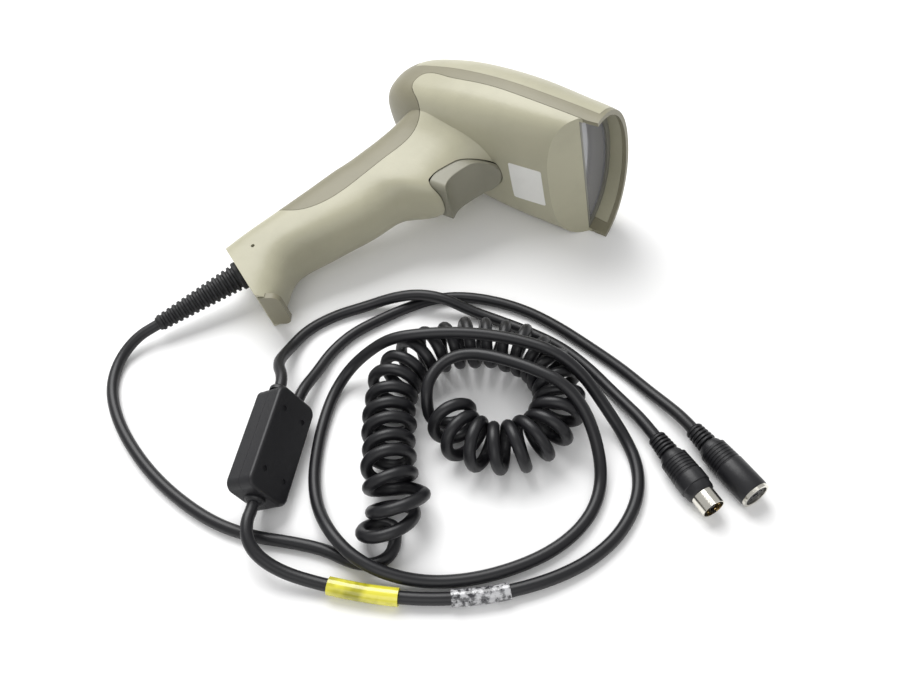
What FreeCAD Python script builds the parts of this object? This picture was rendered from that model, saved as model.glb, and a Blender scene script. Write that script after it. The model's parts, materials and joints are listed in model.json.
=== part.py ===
import FreeCAD, Part
import math
import os

# Handheld barcode scanner, lying on its left cheek with its cords on the table.
#
# Design frame of the scanner (used by every piece of the scanner itself):
#   X forward, from the rear of the head towards the window
#   Y to the scanner's left
#   Z up, from the handle towards the crown of the head
# The row frame has +X forward, +Y towards the crown and +Z up from the table. One placement,
# "lay", turns the design frame into it. Cords, plugs and the splitter are made in the row frame.

doc = FreeCAD.newDocument("barcode_scanner")
V = FreeCAD.Vector
Rotation = FreeCAD.Rotation
Placement = FreeCAD.Placement

# ---------------------------------------------------------------- driving dimensions, mm and degrees
SIZES = [
    ("head_length", 119.0, "rear of the head to the rim of the hood"),
    ("head_width", 78.0, "width of the head at the window"),
    ("rear_width", 52.0, "width of the head where its sides start, behind"),
    ("head_rise", 22.0, "crown above the datum"),
    ("hood_rise", 12.5, "crown above the datum at the rim of the hood"),
    ("head_drop", 26.5, "underside of the head below the datum"),
    ("wall", 2.2, "thickness of the casings"),
    ("seam", 0.25, "gap between two casings"),
    ("handle_reach", 137.0, "lowest point of the foot below the datum"),
    ("handle_thick", 30.0, "thickness of the handle, side to side"),
    ("handle_back", 16.3, "back of the handle forward of the rear of the head, at the neck"),
    ("neck_level", 21.6, "depth below the datum at which handle_back is measured"),
    ("handle_rake", 19.5, "lean of the handle's back"),
    ("grip_depth", 39.5, "handle front to back under the trigger"),
    ("waist_depth", 30.0, "handle front to back at its narrowest"),
    ("foot_tilt", 26.7, "tilt of the end face"),
    ("foot_front", 13.8, "front edge of the end face forward of the rear of the head"),
    ("cord_back", 25.5, "cord's exit behind the front edge of the end face"),
    ("toe_slope", 28.0, "slope of the toe in front of the end face"),
    ("hood_depth", 9.0, "window set back from the rim"),
    ("sill_level", 13.7, "lower edge of the window below the datum"),
    ("window_thick", 2.0, "thickness of the window"),
    ("gasket_depth", 4.0, "depth of the window's gasket"),
    ("gasket_width", 3.0, "width of the gasket around the window"),
    ("side_seam_front", 14.4, "seam below the datum at the hood"),
    ("side_seam_rear", 4.4, "seam below the datum at the rear"),
    ("crease_front", 7.8, "edge of the top cover below the datum, at the hood"),
    ("crease_rear", 0.2, "edge of the top cover above the datum, at the rear"),
    ("pocket_half", 12.2, "half width of the trigger's opening"),
    ("pocket_top", 24.0, "top of the trigger's opening below the datum"),
    ("pocket_foot", 52.6, "bottom of the trigger's opening below the datum"),
    ("trigger_gap", 0.5, "clearance around the trigger"),
    ("pivot_x", 57.0, "trigger pivot forward of the rear of the head"),
    ("pivot_drop", 28.5, "trigger pivot below the datum"),
    ("pivot_pin", 3.0, "diameter of the trigger's pin"),
    ("pin_length", 25.2, "length of the trigger's pin"),
    ("pin_play", 0.05, "radial clearance of the trigger on its pin"),
    ("lug_thick", 4.0, "half the length of the lugs that hold the pin"),
    ("screw_size", 3.0, "diameter of the housing screws"),
    ("board_thick", 1.6, "thickness of the circuit boards"),
    ("main_board_length", 59.0, "length of the main board"),
    ("main_board_width", 42.0, "width of the main board"),
    ("imager_length", 18.0, "length of the imager's frame"),
    ("imager_width", 30.0, "width of the imager's frame"),
    ("imager_height", 20.0, "height of the imager's frame"),
    ("lens_size", 9.0, "diameter of the lens barrel"),
    ("cable", 5.0, "diameter of the cable"),
    ("coil_size", 22.6, "outer diameter of the curly cord"),
    ("boot_base", 14.0, "diameter of the strain relief where it leaves the foot"),
    ("boot_tip", 8.0, "diameter of the strain relief at its tip"),
    ("boot_hole", 9.0, "hole in the foot for the strain relief's neck"),
    ("plug_length", 21.0, "length of the modular plug"),
    ("plug_width", 11.7, "width of the modular plug"),
    ("plug_height", 6.6, "height of the modular plug"),
    ("jack_length", 18.0, "length of the modular jack"),
    ("jack_width", 15.5, "width of the modular jack"),
    ("jack_height", 12.5, "height of the modular jack"),
    ("release_hole", 1.8, "diameter of the hole that reaches the plug's latch"),
    ("splitter_long", 47.0, "length of the cord splitter"),
    ("splitter_wide", 21.5, "width of the cord splitter"),
    ("splitter_high", 13.0, "thickness of the cord splitter"),
    ("splitter_lean", 60.0, "roll of the cord splitter, which lies on an edge against the cord"),
    ("connector_shell", 9.5, "diameter of the round connectors' metal shell"),
    ("connector_body", 12.4, "diameter of the round connectors' grip"),
    ("lay_lean", 9.45, "lean of the scanner on its cheek and foot"),
    ("lay_pitch", 2.2, "rise of the head towards the front as it lies"),
]

sheet = doc.addObject("Spreadsheet::Sheet", "Sizes")
for row, (alias, value, meaning) in enumerate(SIZES, start=1):
    sheet.set("A%d" % row, meaning)
    sheet.set("B%d" % row, str(value))
    sheet.setAlias("B%d" % row, alias)
doc.recompute()


def size(alias):
    return float(getattr(sheet, alias))


def cell(text):
    """An expression in which each word that is an alias points at the sheet."""
    out = []
    for word in text.replace("(", " ( ").replace(")", " ) ").split():
        out.append("Sizes." + word if word in ALIASES else word)
    return " ".join(out)


ALIASES = set(alias for alias, value, meaning in SIZES)


# ---------------------------------------------------------------- freeform surfaces of the casing
def closed_wire(points):
    curve = Part.BSplineCurve()
    curve.interpolate(Points=points, PeriodicFlag=True)
    return Part.Wire([curve.toShape()])


def power_arc(angle, exponent):
    """Point of a unit superellipse; an exponent of 2 is a circle, more is squarer."""
    c = math.cos(angle)
    s = math.sin(angle)
    reach = (abs(c) ** exponent + abs(s) ** exponent) ** (-1.0 / exponent)
    return c * reach, s * reach


RING = 28


def head_wire(x, half, top, bottom, seam_level):
    """Section of the head across X: a low crown above the seam, a squarer belly below it."""
    points = []
    for i in range(RING):
        angle = 2 * math.pi * (i + 0.5) / RING
        if angle < math.pi:
            y, z = power_arc(angle, 2.15)
            points.append(V(x, y * half, seam_level + z * (top - seam_level)))
        else:
            y, z = power_arc(angle, 2.9)
            points.append(V(x, y * half, seam_level + z * (seam_level - bottom)))
    return closed_wire(points)


def blend(a, b, t):
    return a + (b - a) * t


def curve_through(knots):
    """Smooth function through hand-set knots (place, value) that never overshoots them."""
    knots = sorted(knots)
    places = [place for place, value in knots]
    values = [value for place, value in knots]
    slopes = [(values[i + 1] - values[i]) / (places[i + 1] - places[i]) for i in range(len(knots) - 1)]
    tangents = [slopes[0]]
    for before, after in zip(slopes, slopes[1:]):
        tangents.append(0.0 if before * after <= 0 else 2 * before * after / (before + after))
    tangents.append(slopes[-1])

    def value_at(place):
        i = max(0, min(len(slopes) - 1, sum(1 for p in places[1:-1] if p <= place)))
        width = places[i + 1] - places[i]
        t = min(1.0, max(0.0, (place - places[i]) / width))
        return (values[i] * (1 + 2 * t) * (1 - t) ** 2 + tangents[i] * width * t * (1 - t) ** 2
                + values[i + 1] * t * t * (3 - 2 * t) + tangents[i + 1] * width * t * t * (t - 1))
    return value_at


DOME = 20.0


def head_stations():
    """Rear dome, then the flaring body of the head, up to the hood's rim."""
    length = size("head_length")
    rear = size("rear_width") / 2
    front = size("head_width") / 2
    rise = size("head_rise")
    drop = size("head_drop")
    half_at = curve_through([(0.0, rear - 2.0), (DOME, rear), (42.0, blend(rear, front, 0.42)),
                             (72.0, blend(rear, front, 0.78)), (length - 20.0, front - 1.0), (length, front)])
    top_at = curve_through([(0.0, rise - 4.0), (DOME, rise - 2.0), (45.0, rise), (74.0, rise - 1.6),
                            (length - 20.0, blend(rise, size("hood_rise"), 0.58)), (length, size("hood_rise"))])
    bottom_at = curve_through([(0.0, -20.0), (DOME, -22.0), (50.0, -drop + 1.0), (75.0, -drop),
                               (length - 20.0, -drop + 1.0), (length, -drop + 2.0)])
    places = [DOME * t for t in (0.0, 0.025, 0.09, 0.2, 0.36, 0.58, 0.82)]
    places += [blend(DOME, length, t) for t in (0.06, 0.16, 0.27, 0.39, 0.51, 0.63, 0.75, 0.87, 1.0)]
    stations = []
    for x in places:
        t = min(1.0, x / (DOME + 6.0))
        swell = blend(0.3, 1.0, math.sqrt(1 - (1 - t) ** 2))
        level = seam_level_at(x)
        stations.append((x, half_at(x) * swell, level + (top_at(x) - level) * swell,
                         level + (bottom_at(x) - level) * swell, level))
    return stations


def seam_level_at(x):
    t = max(0.0, (x - DOME) / (size("head_length") - DOME))
    return -blend(size("side_seam_rear"), size("side_seam_front"), t ** 1.3)


def head_solid(inset, past_front=0.0):
    """The head's outer shape drawn in by an inset, and run on past the hood's rim."""
    wires = []
    stations = head_stations()
    for x, half, top, bottom, level in stations:
        at = x + inset * max(0.0, 1 - x / (DOME + 6.0))
        wires.append(head_wire(at, half - inset, top - inset, bottom + inset, level))
    if past_front > 0:
        x, half, top, bottom, level = stations[-1]
        wires.append(head_wire(x + past_front, half - inset, top - inset, bottom + inset, level))
    return Part.makeLoft(wires, True, False)


def handle_wire(level, back, front, half, squareness):
    """Section of the handle across Z: flat cheeks, a rounded back and a rounder front."""
    middle = (back + front) / 2
    points = []
    for i in range(RING):
        angle = 2 * math.pi * (i + 0.5) / RING
        forward = math.cos(angle) > 0
        x, y = power_arc(angle, squareness if forward else squareness + 0.6)
        points.append(V(middle + x * (front - back) / 2, y * half, level))
    return closed_wire(points)


def handle_back_at(level):
    return size("handle_back") + math.tan(math.radians(size("handle_rake"))) * (level + size("neck_level"))


def handle_stations():
    """Level, front-to-back depth, half thickness and squareness, from inside the head to past the foot."""
    half = size("handle_thick") / 2
    grip = size("grip_depth")
    waist = size("waist_depth")
    neck = size("neck_level")
    down = size("handle_reach") - neck
    depth_at = curve_through([(12.0, 84.0), (5.0, 70.0), (-3.0, 58.5), (-11.0, 52.5), (-21.0, 51.0),
                              (-32.0, 52.0), (-36.0, 47.5), (-41.0, grip + 1.0), (-0.5 * down, grip - 1.5),
                              (-0.64 * down, blend(grip, waist, 0.62)), (-0.78 * down, waist),
                              (-0.89 * down, grip - 2.5), (-down, grip + 8.0), (-down - 14.0, grip + 16.0)])
    half_at = curve_through([(12.0, half + 13.0), (5.0, half + 8.5), (-3.0, half + 4.0), (-11.0, half + 1.2),
                             (-21.0, half), (-0.5 * down, half - 0.3), (-down, half), (-down - 14.0, half)])
    levels = [12.0, 6.0, 0.0, -5.5, -11.0, -16.0, -21.0, -26.5, -32.0, -37.0, -42.5]
    levels += [blend(-42.5, -down, t) for t in (0.11, 0.23, 0.36, 0.5, 0.63, 0.76, 0.88, 1.0)]
    levels += [-down - 8.0, -down - 14.0]
    return [(level - neck, depth_at(level), half_at(level), 2.55) for level in levels]


def handle_solid(inset):
    wires = []
    for level, depth, half, squareness in handle_stations():
        back = handle_back_at(level)
        wires.append(handle_wire(level, back + inset, back + depth - inset, half - inset, squareness))
    return Part.makeLoft(wires, True, False)


def prism(outline, half):
    """Solid swept through both sides of the scanner from an outline in the XZ plane."""
    face = Part.Face(outline)
    face.translate(V(0, -half, 0))
    return face.extrude(V(0, 2 * half, 0))


def polygon(points):
    corners = [V(x, 0, z) for x, z in points]
    return Part.makePolygon(corners + corners[:1])


# ---------------------------------------------------------------- planes and lines that pieces share
WALL = size("wall")
FIT = 0.15
HALF_SPAN = 60.0
LENGTH = size("head_length")
REACH = size("handle_reach")
FOOT_TILT = math.radians(size("foot_tilt"))
FOOT_FRONT = size("foot_front")
WINDOW_X = LENGTH - size("hood_depth")
SILL = -size("sill_level")
# unit vectors of the end face: out of it, and along it towards the front
FOOT_OUT = V(-math.sin(FOOT_TILT), 0, -math.cos(FOOT_TILT))
FOOT_ALONG = V(math.cos(FOOT_TILT), 0, -math.sin(FOOT_TILT))
FOOT_EDGE = V(FOOT_FRONT, 0, -REACH)
CORD_BACK = size("cord_back")
CORD_EXIT = FOOT_EDGE - FOOT_ALONG * CORD_BACK


def foot_cutter(depth):
    """Everything past the end face and the toe, both drawn in by a depth."""
    inward = FOOT_OUT * (-depth)
    toe = math.radians(size("toe_slope"))
    edge = FOOT_EDGE + inward
    rear = edge - FOOT_ALONG * 90.0
    ahead = edge + V(math.cos(toe), 0, math.sin(toe)) * 60.0
    return prism(polygon([(rear.x, rear.z), (edge.x, edge.z), (ahead.x, ahead.z),
                          (ahead.x, -REACH - 80), (rear.x, -REACH - 80)]), HALF_SPAN)


def bezel_outline(depth):
    """Everything in front of the sloping bezel under the window, drawn in by a depth."""
    x = WINDOW_X - depth * math.sqrt(2)
    fall = 40.0
    return polygon([(x, SILL), (LENGTH + 30, SILL), (LENGTH + 30, SILL - fall), (x - fall, SILL - fall)])


def casing_outer():
    body = head_solid(0.0).fuse(handle_solid(0.0))
    body = body.cut(foot_cutter(0.0))
    body = body.cut(prism(bezel_outline(0.0), HALF_SPAN))
    return body.removeSplitter()


def casing_inner():
    room = head_solid(WALL, 4.0).fuse(handle_solid(WALL))
    room = room.cut(foot_cutter(WALL))
    return room.cut(prism(bezel_outline(WALL), HALF_SPAN))


def seam_points():
    """Side seam between the two casings, from the hood back and down the handle."""
    rear = size("side_seam_rear")
    points = []
    for t in (1.06, 0.85, 0.6, 0.35, 0.12, 0.02):
        x = blend(DOME + 2.0, LENGTH, t)
        points.append((x, seam_level_at(x)))
    neck = size("neck_level")
    down = REACH - neck
    points.append((19.2, -rear - 4.5))
    points.append((26.0, -rear - 13.5))
    for fraction, depth in ((0.03, 15.2), (0.115, 18.6), (0.2, 18.8), (0.395, 19.8), (0.55, 17.5), (0.61, 11.5)):
        level = -neck - fraction * down
        points.append((handle_back_at(level) + depth, level))
    level = -neck - 0.625 * down
    points.append((handle_back_at(level) - 2.0, level))
    points.append((handle_back_at(level) - 25.0, level - 2.0))
    return points


def region_behind_seam(grow):
    """The upper and rear casing's side of the seam, grown by the seam's gap."""
    line = Part.BSplineCurve()
    line.interpolate(Points=[V(x, 0, z) for x, z in seam_points()])
    spots = 30
    shifted = []
    for i in range(spots + 1):
        at = blend(line.FirstParameter, line.LastParameter, i / spots)
        along = line.tangent(at)[0]
        shifted.append(line.value(at) + V(-along.z, 0, along.x).normalize() * grow)
    curve = Part.BSplineCurve()
    curve.interpolate(Points=shifted)
    first = shifted[0]
    last = shifted[-1]
    high = 60.0
    rear = last.x - 20
    edges = [curve.toShape(),
             Part.makeLine(last, V(rear, 0, last.z)),
             Part.makeLine(V(rear, 0, last.z), V(rear, 0, high)),
             Part.makeLine(V(rear, 0, high), V(first.x, 0, high)),
             Part.makeLine(V(first.x, 0, high), first)]
    return prism(Part.Wire(edges), HALF_SPAN)


def region_above_crease(lower):
    """Space above the edge of the top cover."""
    front = -size("crease_front") - lower
    rear = size("crease_rear") - lower
    start = 13.0
    points = [V(start, 0, rear + 1.2), V(30, 0, rear + 0.6), V(blend(30, LENGTH, 0.5), 0, blend(rear, front, 0.38)),
              V(LENGTH - 2.2 + lower, 0, front)]
    curve = Part.BSplineCurve()
    curve.interpolate(Points=points)
    high = 60.0
    rim = LENGTH - 2.2 + lower
    edges = [curve.toShape(), Part.makeLine(points[-1], V(rim, 0, high)),
             Part.makeLine(V(rim, 0, high), V(start - lower, 0, high)),
             Part.makeLine(V(start - lower, 0, high), points[0])]
    return prism(Part.Wire(edges), HALF_SPAN)


# ---------------------------------------------------------------- how the scanner lies on the table
OUTER = casing_outer()
LAY_TURN = Rotation(V(0, 1, 0), -size("lay_pitch")) * Rotation(V(1, 0, 0), size("lay_lean") - 90.0)
lying = [LAY_TURN.multVec(point) for point in OUTER.tessellate(0.05)[0]]
LAY_BASE = V(-(min(p.x for p in lying) + max(p.x for p in lying)) / 2,
             -(min(p.y for p in lying) + max(p.y for p in lying)) / 2,
             -min(p.z for p in lying))
LAY = Placement(LAY_BASE, LAY_TURN)
# frame of the foot: origin where the cord leaves, X to the front, Z up into the handle
FOOT = LAY.multiply(Placement(CORD_EXIT, Rotation(V(0, 1, 0), size("foot_tilt"))))
TABLE = Placement()

pieces = {}


def keep(label, shape, placement=None):
    """A piece whose surfaces are freeform, as one feature of the document."""
    feature = doc.addObject("Part::Feature", label)
    feature.Label = label
    feature.Shape = shape
    lying_at = LAY if placement is None else placement
    feature.Placement = lying_at.multiply(shape.Placement)
    pieces[label] = feature
    return feature


class Piece:
    """A PartDesign body built from blocks and rods whose sizes are bound to the sheet."""

    def __init__(self, label, placement=None):
        self.label = label
        self.body = doc.addObject("PartDesign::Body", label)
        self.body.Label = label
        self.placement = LAY if placement is None else placement
        self.count = 0
        pieces[label] = self.body

    def feature(self, kind, turn, place, sizes):
        self.count += 1
        made = self.body.newObject("PartDesign::" + kind, "%s_%d" % (self.label, self.count))
        made.Placement = Placement(V(0, 0, 0), turn)
        for axis, text in zip("xyz", place):
            made.setExpression("Placement.Base." + axis, cell(text))
        for name, text in sizes.items():
            made.setExpression(name, cell(text))
        self.body.Placement = self.placement
        return self

    def block(self, lengths, place, cut=False):
        """Box given by its three lengths and its lowest corner."""
        kind = "SubtractiveBox" if cut else "AdditiveBox"
        sizes = dict(zip(("Length", "Width", "Height"), lengths))
        return self.feature(kind, Rotation(), place, sizes)

    def rod(self, radius, length, place, along="z", cut=False):
        """Cylinder from a point along +X, +Y or +Z."""
        turns = {"x": Rotation(V(0, 1, 0), 90), "y": Rotation(V(1, 0, 0), -90), "z": Rotation()}
        kind = "SubtractiveCylinder" if cut else "AdditiveCylinder"
        return self.feature(kind, turns[along], place, {"Radius": radius, "Height": length})

    def dome(self, radius, place):
        return self.feature("AdditiveSphere", Rotation(), place, {"Radius": radius})


# ---------------------------------------------------------------- casings
def cylinder(radius, length, start, direction):
    return Part.makeCylinder(radius, length, start, direction)


def box_between(low, high):
    return Part.makeBox(high[0] - low[0], high[1] - low[1], high[2] - low[2], V(*low))


def arch_prism(half, top, foot, rear, ahead):
    """The trigger opening's outline, round at its top, swept forward."""
    rounded = 3.0
    spring = top - half
    edges = [Part.Arc(V(rear, half, spring), V(rear, 0, top), V(rear, -half, spring)).toShape(),
             Part.makeLine(V(rear, -half, spring), V(rear, -half, foot + rounded)),
             Part.Arc(V(rear, -half, foot + rounded),
                      V(rear, -half + rounded * (1 - math.sqrt(0.5)), foot + rounded * (1 - math.sqrt(0.5))),
                      V(rear, -half + rounded, foot)).toShape(),
             Part.makeLine(V(rear, -half + rounded, foot), V(rear, half - rounded, foot)),
             Part.Arc(V(rear, half - rounded, foot),
                      V(rear, half - rounded * (1 - math.sqrt(0.5)), foot + rounded * (1 - math.sqrt(0.5))),
                      V(rear, half, foot + rounded)).toShape(),
             Part.makeLine(V(rear, half, foot + rounded), V(rear, half, spring))]
    return Part.Face(Part.Wire(edges)).extrude(V(ahead - rear, 0, 0))


def trigger_opening(gap):
    """Space of the trigger, smaller all round by gap: an arch in front view, round at its front end."""
    half = POCKET_HALF - gap
    arch = arch_prism(half, POCKET_TOP - gap, POCKET_FOOT + gap, OPENING_REAR, OPENING_TURN + half + 1.0)
    nose = cylinder(half, 80.0, V(OPENING_TURN, 0, -80.0), V(0, 0, 1))
    body = box_between((OPENING_REAR, -half, -80.0), (OPENING_TURN, half, 0.0))
    return arch.common(body.fuse(nose))


PIVOT = V(size("pivot_x"), 0, -size("pivot_drop"))
PIN = size("pivot_pin")
PIN_HALF = size("pin_length") / 2
POCKET_HALF = size("pocket_half")
POCKET_TOP = -size("pocket_top")
POCKET_FOOT = -size("pocket_foot")
OPENING_REAR = PIVOT.x - 13.0
OPENING_TURN = PIVOT.x + 4.8
LUG_INNER = 11.1
LUG_HIGH = 9.0
LUG_THICK = size("lug_thick")
LUG_REACH = 11.2
SWITCH_DROP = 17.5
SWITCH_Z = PIVOT.z - SWITCH_DROP
FRAME_TOP = -7.0
FRAME_THICK = 2.0
POSTS = [(46.0, 24.0), (46.0, -24.0), (LENGTH - 29.0, 24.0), (LENGTH - 29.0, -24.0)]
POST_RADIUS = 3.2
RAKE = math.radians(size("handle_rake"))
ACROSS = V(math.cos(RAKE), 0, -math.sin(RAKE))
SCREW_LEVELS = (-66.0, -84.0)
SCREW = size("screw_size")


def back_point(level):
    return V(handle_back_at(level), 0, level)


def toe_block(shrink, depth, proud):
    """Plate let into the toe, round at its front corners."""
    toe = math.radians(size("toe_slope"))
    long = 10.4
    half = 11.0
    plate = Part.makeBox(long - 0.6 - 2 * shrink, 2 * half - 2 * shrink, depth + proud,
                         V(0.6 + shrink, -half + shrink, -proud))
    corners = [e for e in plate.Edges if abs(e.Vertexes[0].Z - e.Vertexes[-1].Z) > 0.5 * depth
               and e.CenterOfMass.x > long / 2]
    plate = plate.makeFillet(4.5 - shrink, corners)
    plate.Placement = Placement(FOOT_EDGE, Rotation(V(0, 1, 0), -math.degrees(toe)))
    return plate


def make_casings():
    inner = casing_inner()
    shell = OUTER.cut(inner)
    behind = region_behind_seam(0.0)
    rear_shell = shell.common(behind)
    front_shell = shell.cut(region_behind_seam(size("seam")))

    top_cover = rear_shell.common(region_above_crease(0.0))
    upper = rear_shell.cut(region_above_crease(0.12))
    lens_at = V(STATUS_X, 0, -2.0)
    top_cover = top_cover.cut(cylinder(STATUS_RADIUS, 40.0, lens_at, V(0, 0, 1)))

    # screws through the back of the handle into posts of the front casing
    for level in SCREW_LEVELS:
        start = back_point(level) - ACROSS * 4.0
        upper = upper.cut(cylinder(SCREW / 2 + 0.1, 20.0, start, ACROSS))
        upper = upper.cut(cylinder(SCREW + 0.2, 4.0 + 1.1, start, ACROSS))
        post = cylinder(SCREW / 2 + 2.2, 34.0, back_point(level) + ACROSS * (WALL + 0.4), ACROSS).common(OUTER)
        post = post.cut(cylinder(SCREW / 2, 11.0, back_point(level) + ACROSS * WALL, ACROSS))
        front_shell = front_shell.fuse(post)

    lower = front_shell.cut(trigger_opening(0.0))
    for side in (1, -1):
        low = min(side * LUG_INNER, side * (LUG_INNER + LUG_REACH))
        lug = box_between((PIVOT.x - LUG_THICK, low, PIVOT.z - 3.2),
                          (PIVOT.x + LUG_THICK, low + LUG_REACH, PIVOT.z + LUG_HIGH))
        lower = lower.fuse(lug.common(OUTER))
    lower = lower.cut(cylinder(PIN / 2, 2 * PIN_HALF, PIVOT - V(0, PIN_HALF, 0), V(0, 1, 0)))
    for x, y in POSTS:
        post = cylinder(POST_RADIUS, 30.0, V(x, y, FRAME_TOP - FRAME_THICK), V(0, 0, -1)).common(OUTER)
        post = post.cut(cylinder(1.0, 7.0, V(x, y, FRAME_TOP - FRAME_THICK), V(0, 0, -1)))
        lower = lower.fuse(post)
    lower = lower.cut(cylinder(size("boot_hole") / 2, 8.0, CORD_EXIT + FOOT_OUT * 2.0, FOOT_OUT * (-1)))
    hole_at = CORD_EXIT - FOOT_OUT * 11.0 + FOOT_ALONG * 2.0
    lower = lower.cut(cylinder(size("release_hole") / 2, 14.0, hole_at - V(0, 20.0, 0), V(0, 1, 0)))
    seat = toe_block(0.0, 3.6, 2.0).common(OUTER)
    lower = lower.fuse(seat).cut(toe_block(0.0, 2.0, 3.0))
    return upper, top_cover, lower


STATUS_X = 66.0
STATUS_RADIUS = 2.6

upper_casing, cover, lower_casing = make_casings()
keep("upper_housing", upper_casing)
keep("top_cover", cover)
keep("lower_housing", lower_casing)
keep("foot_cap", toe_block(0.25, 2.0, 0.5))


def make_label():
    """Blank label that follows the underside of the head."""
    patch = box_between((LABEL_REAR, -10.5, -60.0), (LABEL_REAR + 16.5, 13.5, -12.0))
    upright = [e for e in patch.Edges if e.BoundBox.ZLength > 1.0]
    return head_solid(-0.15).common(patch.makeFillet(1.0, upright)).cut(OUTER)


LABEL_REAR = 78.5
keep("product_label", make_label())


# ---------------------------------------------------------------- window
def front_slab(inset, rear, ahead, sill):
    """Slice of the head's shape behind the hood, above the sill."""
    slab = box_between((rear, -HALF_SPAN, sill), (ahead, HALF_SPAN, 60.0))
    return head_solid(inset, 4.0).common(slab)


def make_window():
    rear = WINDOW_X - size("gasket_depth")
    ring = size("gasket_width")
    frame = front_slab(WALL + FIT, rear, WINDOW_X, SILL + FIT)
    opening = front_slab(WALL + FIT + ring, rear - 1.0, WINDOW_X + 1.0, SILL + FIT + 1.6)
    pane = front_slab(WALL + FIT + ring, rear + 1.0, rear + 1.0 + size("window_thick"), SILL + FIT + 1.6)
    return frame.cut(opening), pane


gasket, pane = make_window()
keep("window_gasket", gasket)
keep("window", pane)


# ---------------------------------------------------------------- trigger
def make_trigger():
    gap = size("trigger_gap")
    half = POCKET_HALF - gap
    top = POCKET_TOP - gap
    foot = POCKET_FOOT + gap
    front = Part.BSplineCurve()
    front.interpolate(Points=[V(PIVOT.x + 17.6, 0, top + 0.6), V(PIVOT.x + 15.4, 0, top - 3.0),
                              V(PIVOT.x + 9.4, 0, top - 7.0), V(PIVOT.x + 4.4, 0, top - 14.5),
                              V(PIVOT.x + 2.2, 0, top - 21.5), V(PIVOT.x + 3.6, 0, foot)])
    ends = [V(PIVOT.x + 3.6, 0, foot), V(PIVOT.x - 5.8, 0, foot), V(PIVOT.x - 6.3, 0, SWITCH_Z + 4.0),
            V(PIVOT.x - 4.6, 0, PIVOT.z), V(PIVOT.x - 2.0, 0, top + 0.6), V(PIVOT.x + 17.6, 0, top + 0.6)]
    edges = [front.toShape()] + [Part.makeLine(a, b) for a, b in zip(ends, ends[1:])]
    solid = prism(Part.Wire(edges), half + 2.0).common(trigger_opening(gap))
    rim = [e for e in solid.Edges if e.BoundBox.XMin > PIVOT.x + 2.0 and abs(e.CenterOfMass.y) > 1.0
           and e.BoundBox.ZMax < top - 1.0 and e.BoundBox.ZMin < top - 5.0]
    solid = solid.makeFillet(RIM_ROUND, rim)
    solid = solid.cut(cylinder(PIN / 2 + size("pin_play"), 60.0, PIVOT - V(0, 30.0, 0), V(0, 1, 0)))
    for side in (1, -1):
        solid = solid.cut(cylinder(4.1, 10.0, PIVOT + V(0, side * HUB_HALF, 0), V(0, side, 0)))
    return solid


HUB_HALF = 7.6
RIM_ROUND = 0.4
keep("trigger", make_trigger())

pin = Piece("trigger_pivot_pin")
pin.rod("pivot_pin / 2", "pin_length", ("pivot_x", "0 - pin_length / 2", "- pivot_drop"), "y")


def make_spring():
    """Torsion spring beside the trigger's hub: two turns and the leg that rests on the casing."""
    wire = 0.35
    coil_radius = PIN / 2 + 0.5 + wire
    helix = Part.makeHelix(0.9, 1.8, coil_radius)
    ring = Part.Wire(Part.makeCircle(wire, V(coil_radius, 0, 0), V(0, 1, 0)))
    coil = Part.Wire(helix).makePipeShell([ring], True, True)
    leg = cylinder(wire, 6.0, V(coil_radius, 0, 0), V(0, 1, 0))
    spring = coil.fuse(leg)
    spring.Placement = Placement(PIVOT + V(0, HUB_HALF + 0.7, 0), Rotation(V(1, 0, 0), -90))
    return spring


keep("trigger_spring", make_spring())

switch = Piece("switch_body")
switch.block(("7.5", "10", "8"), ("pivot_x - 17.0", "-5", "- pivot_drop - 21.5"))
switch.rod("1.58", "8", ("pivot_x - 16.8", "0", "- pivot_drop - 17.5"), "x", cut=True)
plunger = Piece("switch_plunger")
plunger.rod("1.5", "8.1", ("pivot_x - 15.0 + 0.2", "0", "- pivot_drop - 17.5"), "x")
switch_board = Piece("switch_board")
switch_board.block(("board_thick", "18", "18"), ("pivot_x - 17.0 - board_thick", "-9", "- pivot_drop - 26.5"))

# ---------------------------------------------------------------- frame, boards and imager in the head
frame = Piece("inner_frame")
frame.block(("head_length - 17.0 - 38.0", "54", "2"), ("38", "-27", "-9"))
frame.block(("18", "18", "4"), ("38", "-9", "-10"), cut=True)
for x, y in (("46", "24"), ("46", "-24"), ("head_length - 29.0", "24"), ("head_length - 29.0", "-24")):
    frame.rod("1.2", "4", (x, y, "-10"), cut=True)
for x in ("42", "76"):
    for y in ("-15", "15"):
        frame.rod("2.4", "6.5", (x, y, "-7.5"))
        frame.rod("0.8", "6", (x, y, "-6"), cut=True)

board = Piece("main_board")
board.block(("main_board_length", "main_board_width - 4", "board_thick"), ("20", "0 - main_board_width / 2 + 2", "-1"))
for x in ("42", "76"):
    for y in ("-15", "15"):
        board.rod("1.1", "4", (x, y, "-2"), cut=True)

chips = Piece("board_chips")
chips.block(("14", "14", "1.4"), ("50", "-7", "board_thick - 1"))
for place in (("50", "9.5"), ("30", "-15"), ("63", "-16")):
    chips.block(("8", "6", "1.0"), (place[0], place[1], "board_thick - 1"))

beeper = Piece("beeper")
beeper.rod("6", "5", ("31", "4", "board_thick - 1"))
beeper.rod("1", "2", ("31", "4", "board_thick + 3"), cut=True)

chassis = Piece("imager_chassis")
chassis.block(("imager_length", "imager_width", "imager_height - 3"),
              ("head_length - 17.0 - imager_length - 1.5", "0 - imager_width / 2", "-7"))
chassis.block(("imager_length - 4", "imager_width - 6", "imager_height - 7"),
              ("head_length - 17.0 - imager_length - 2.5", "0 - imager_width / 2 + 3", "-5"), cut=True)
chassis.rod("lens_size / 2 + 0.05", "20", ("head_length - 17.0 - 12", "0", "1.5"), "x", cut=True)

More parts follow.
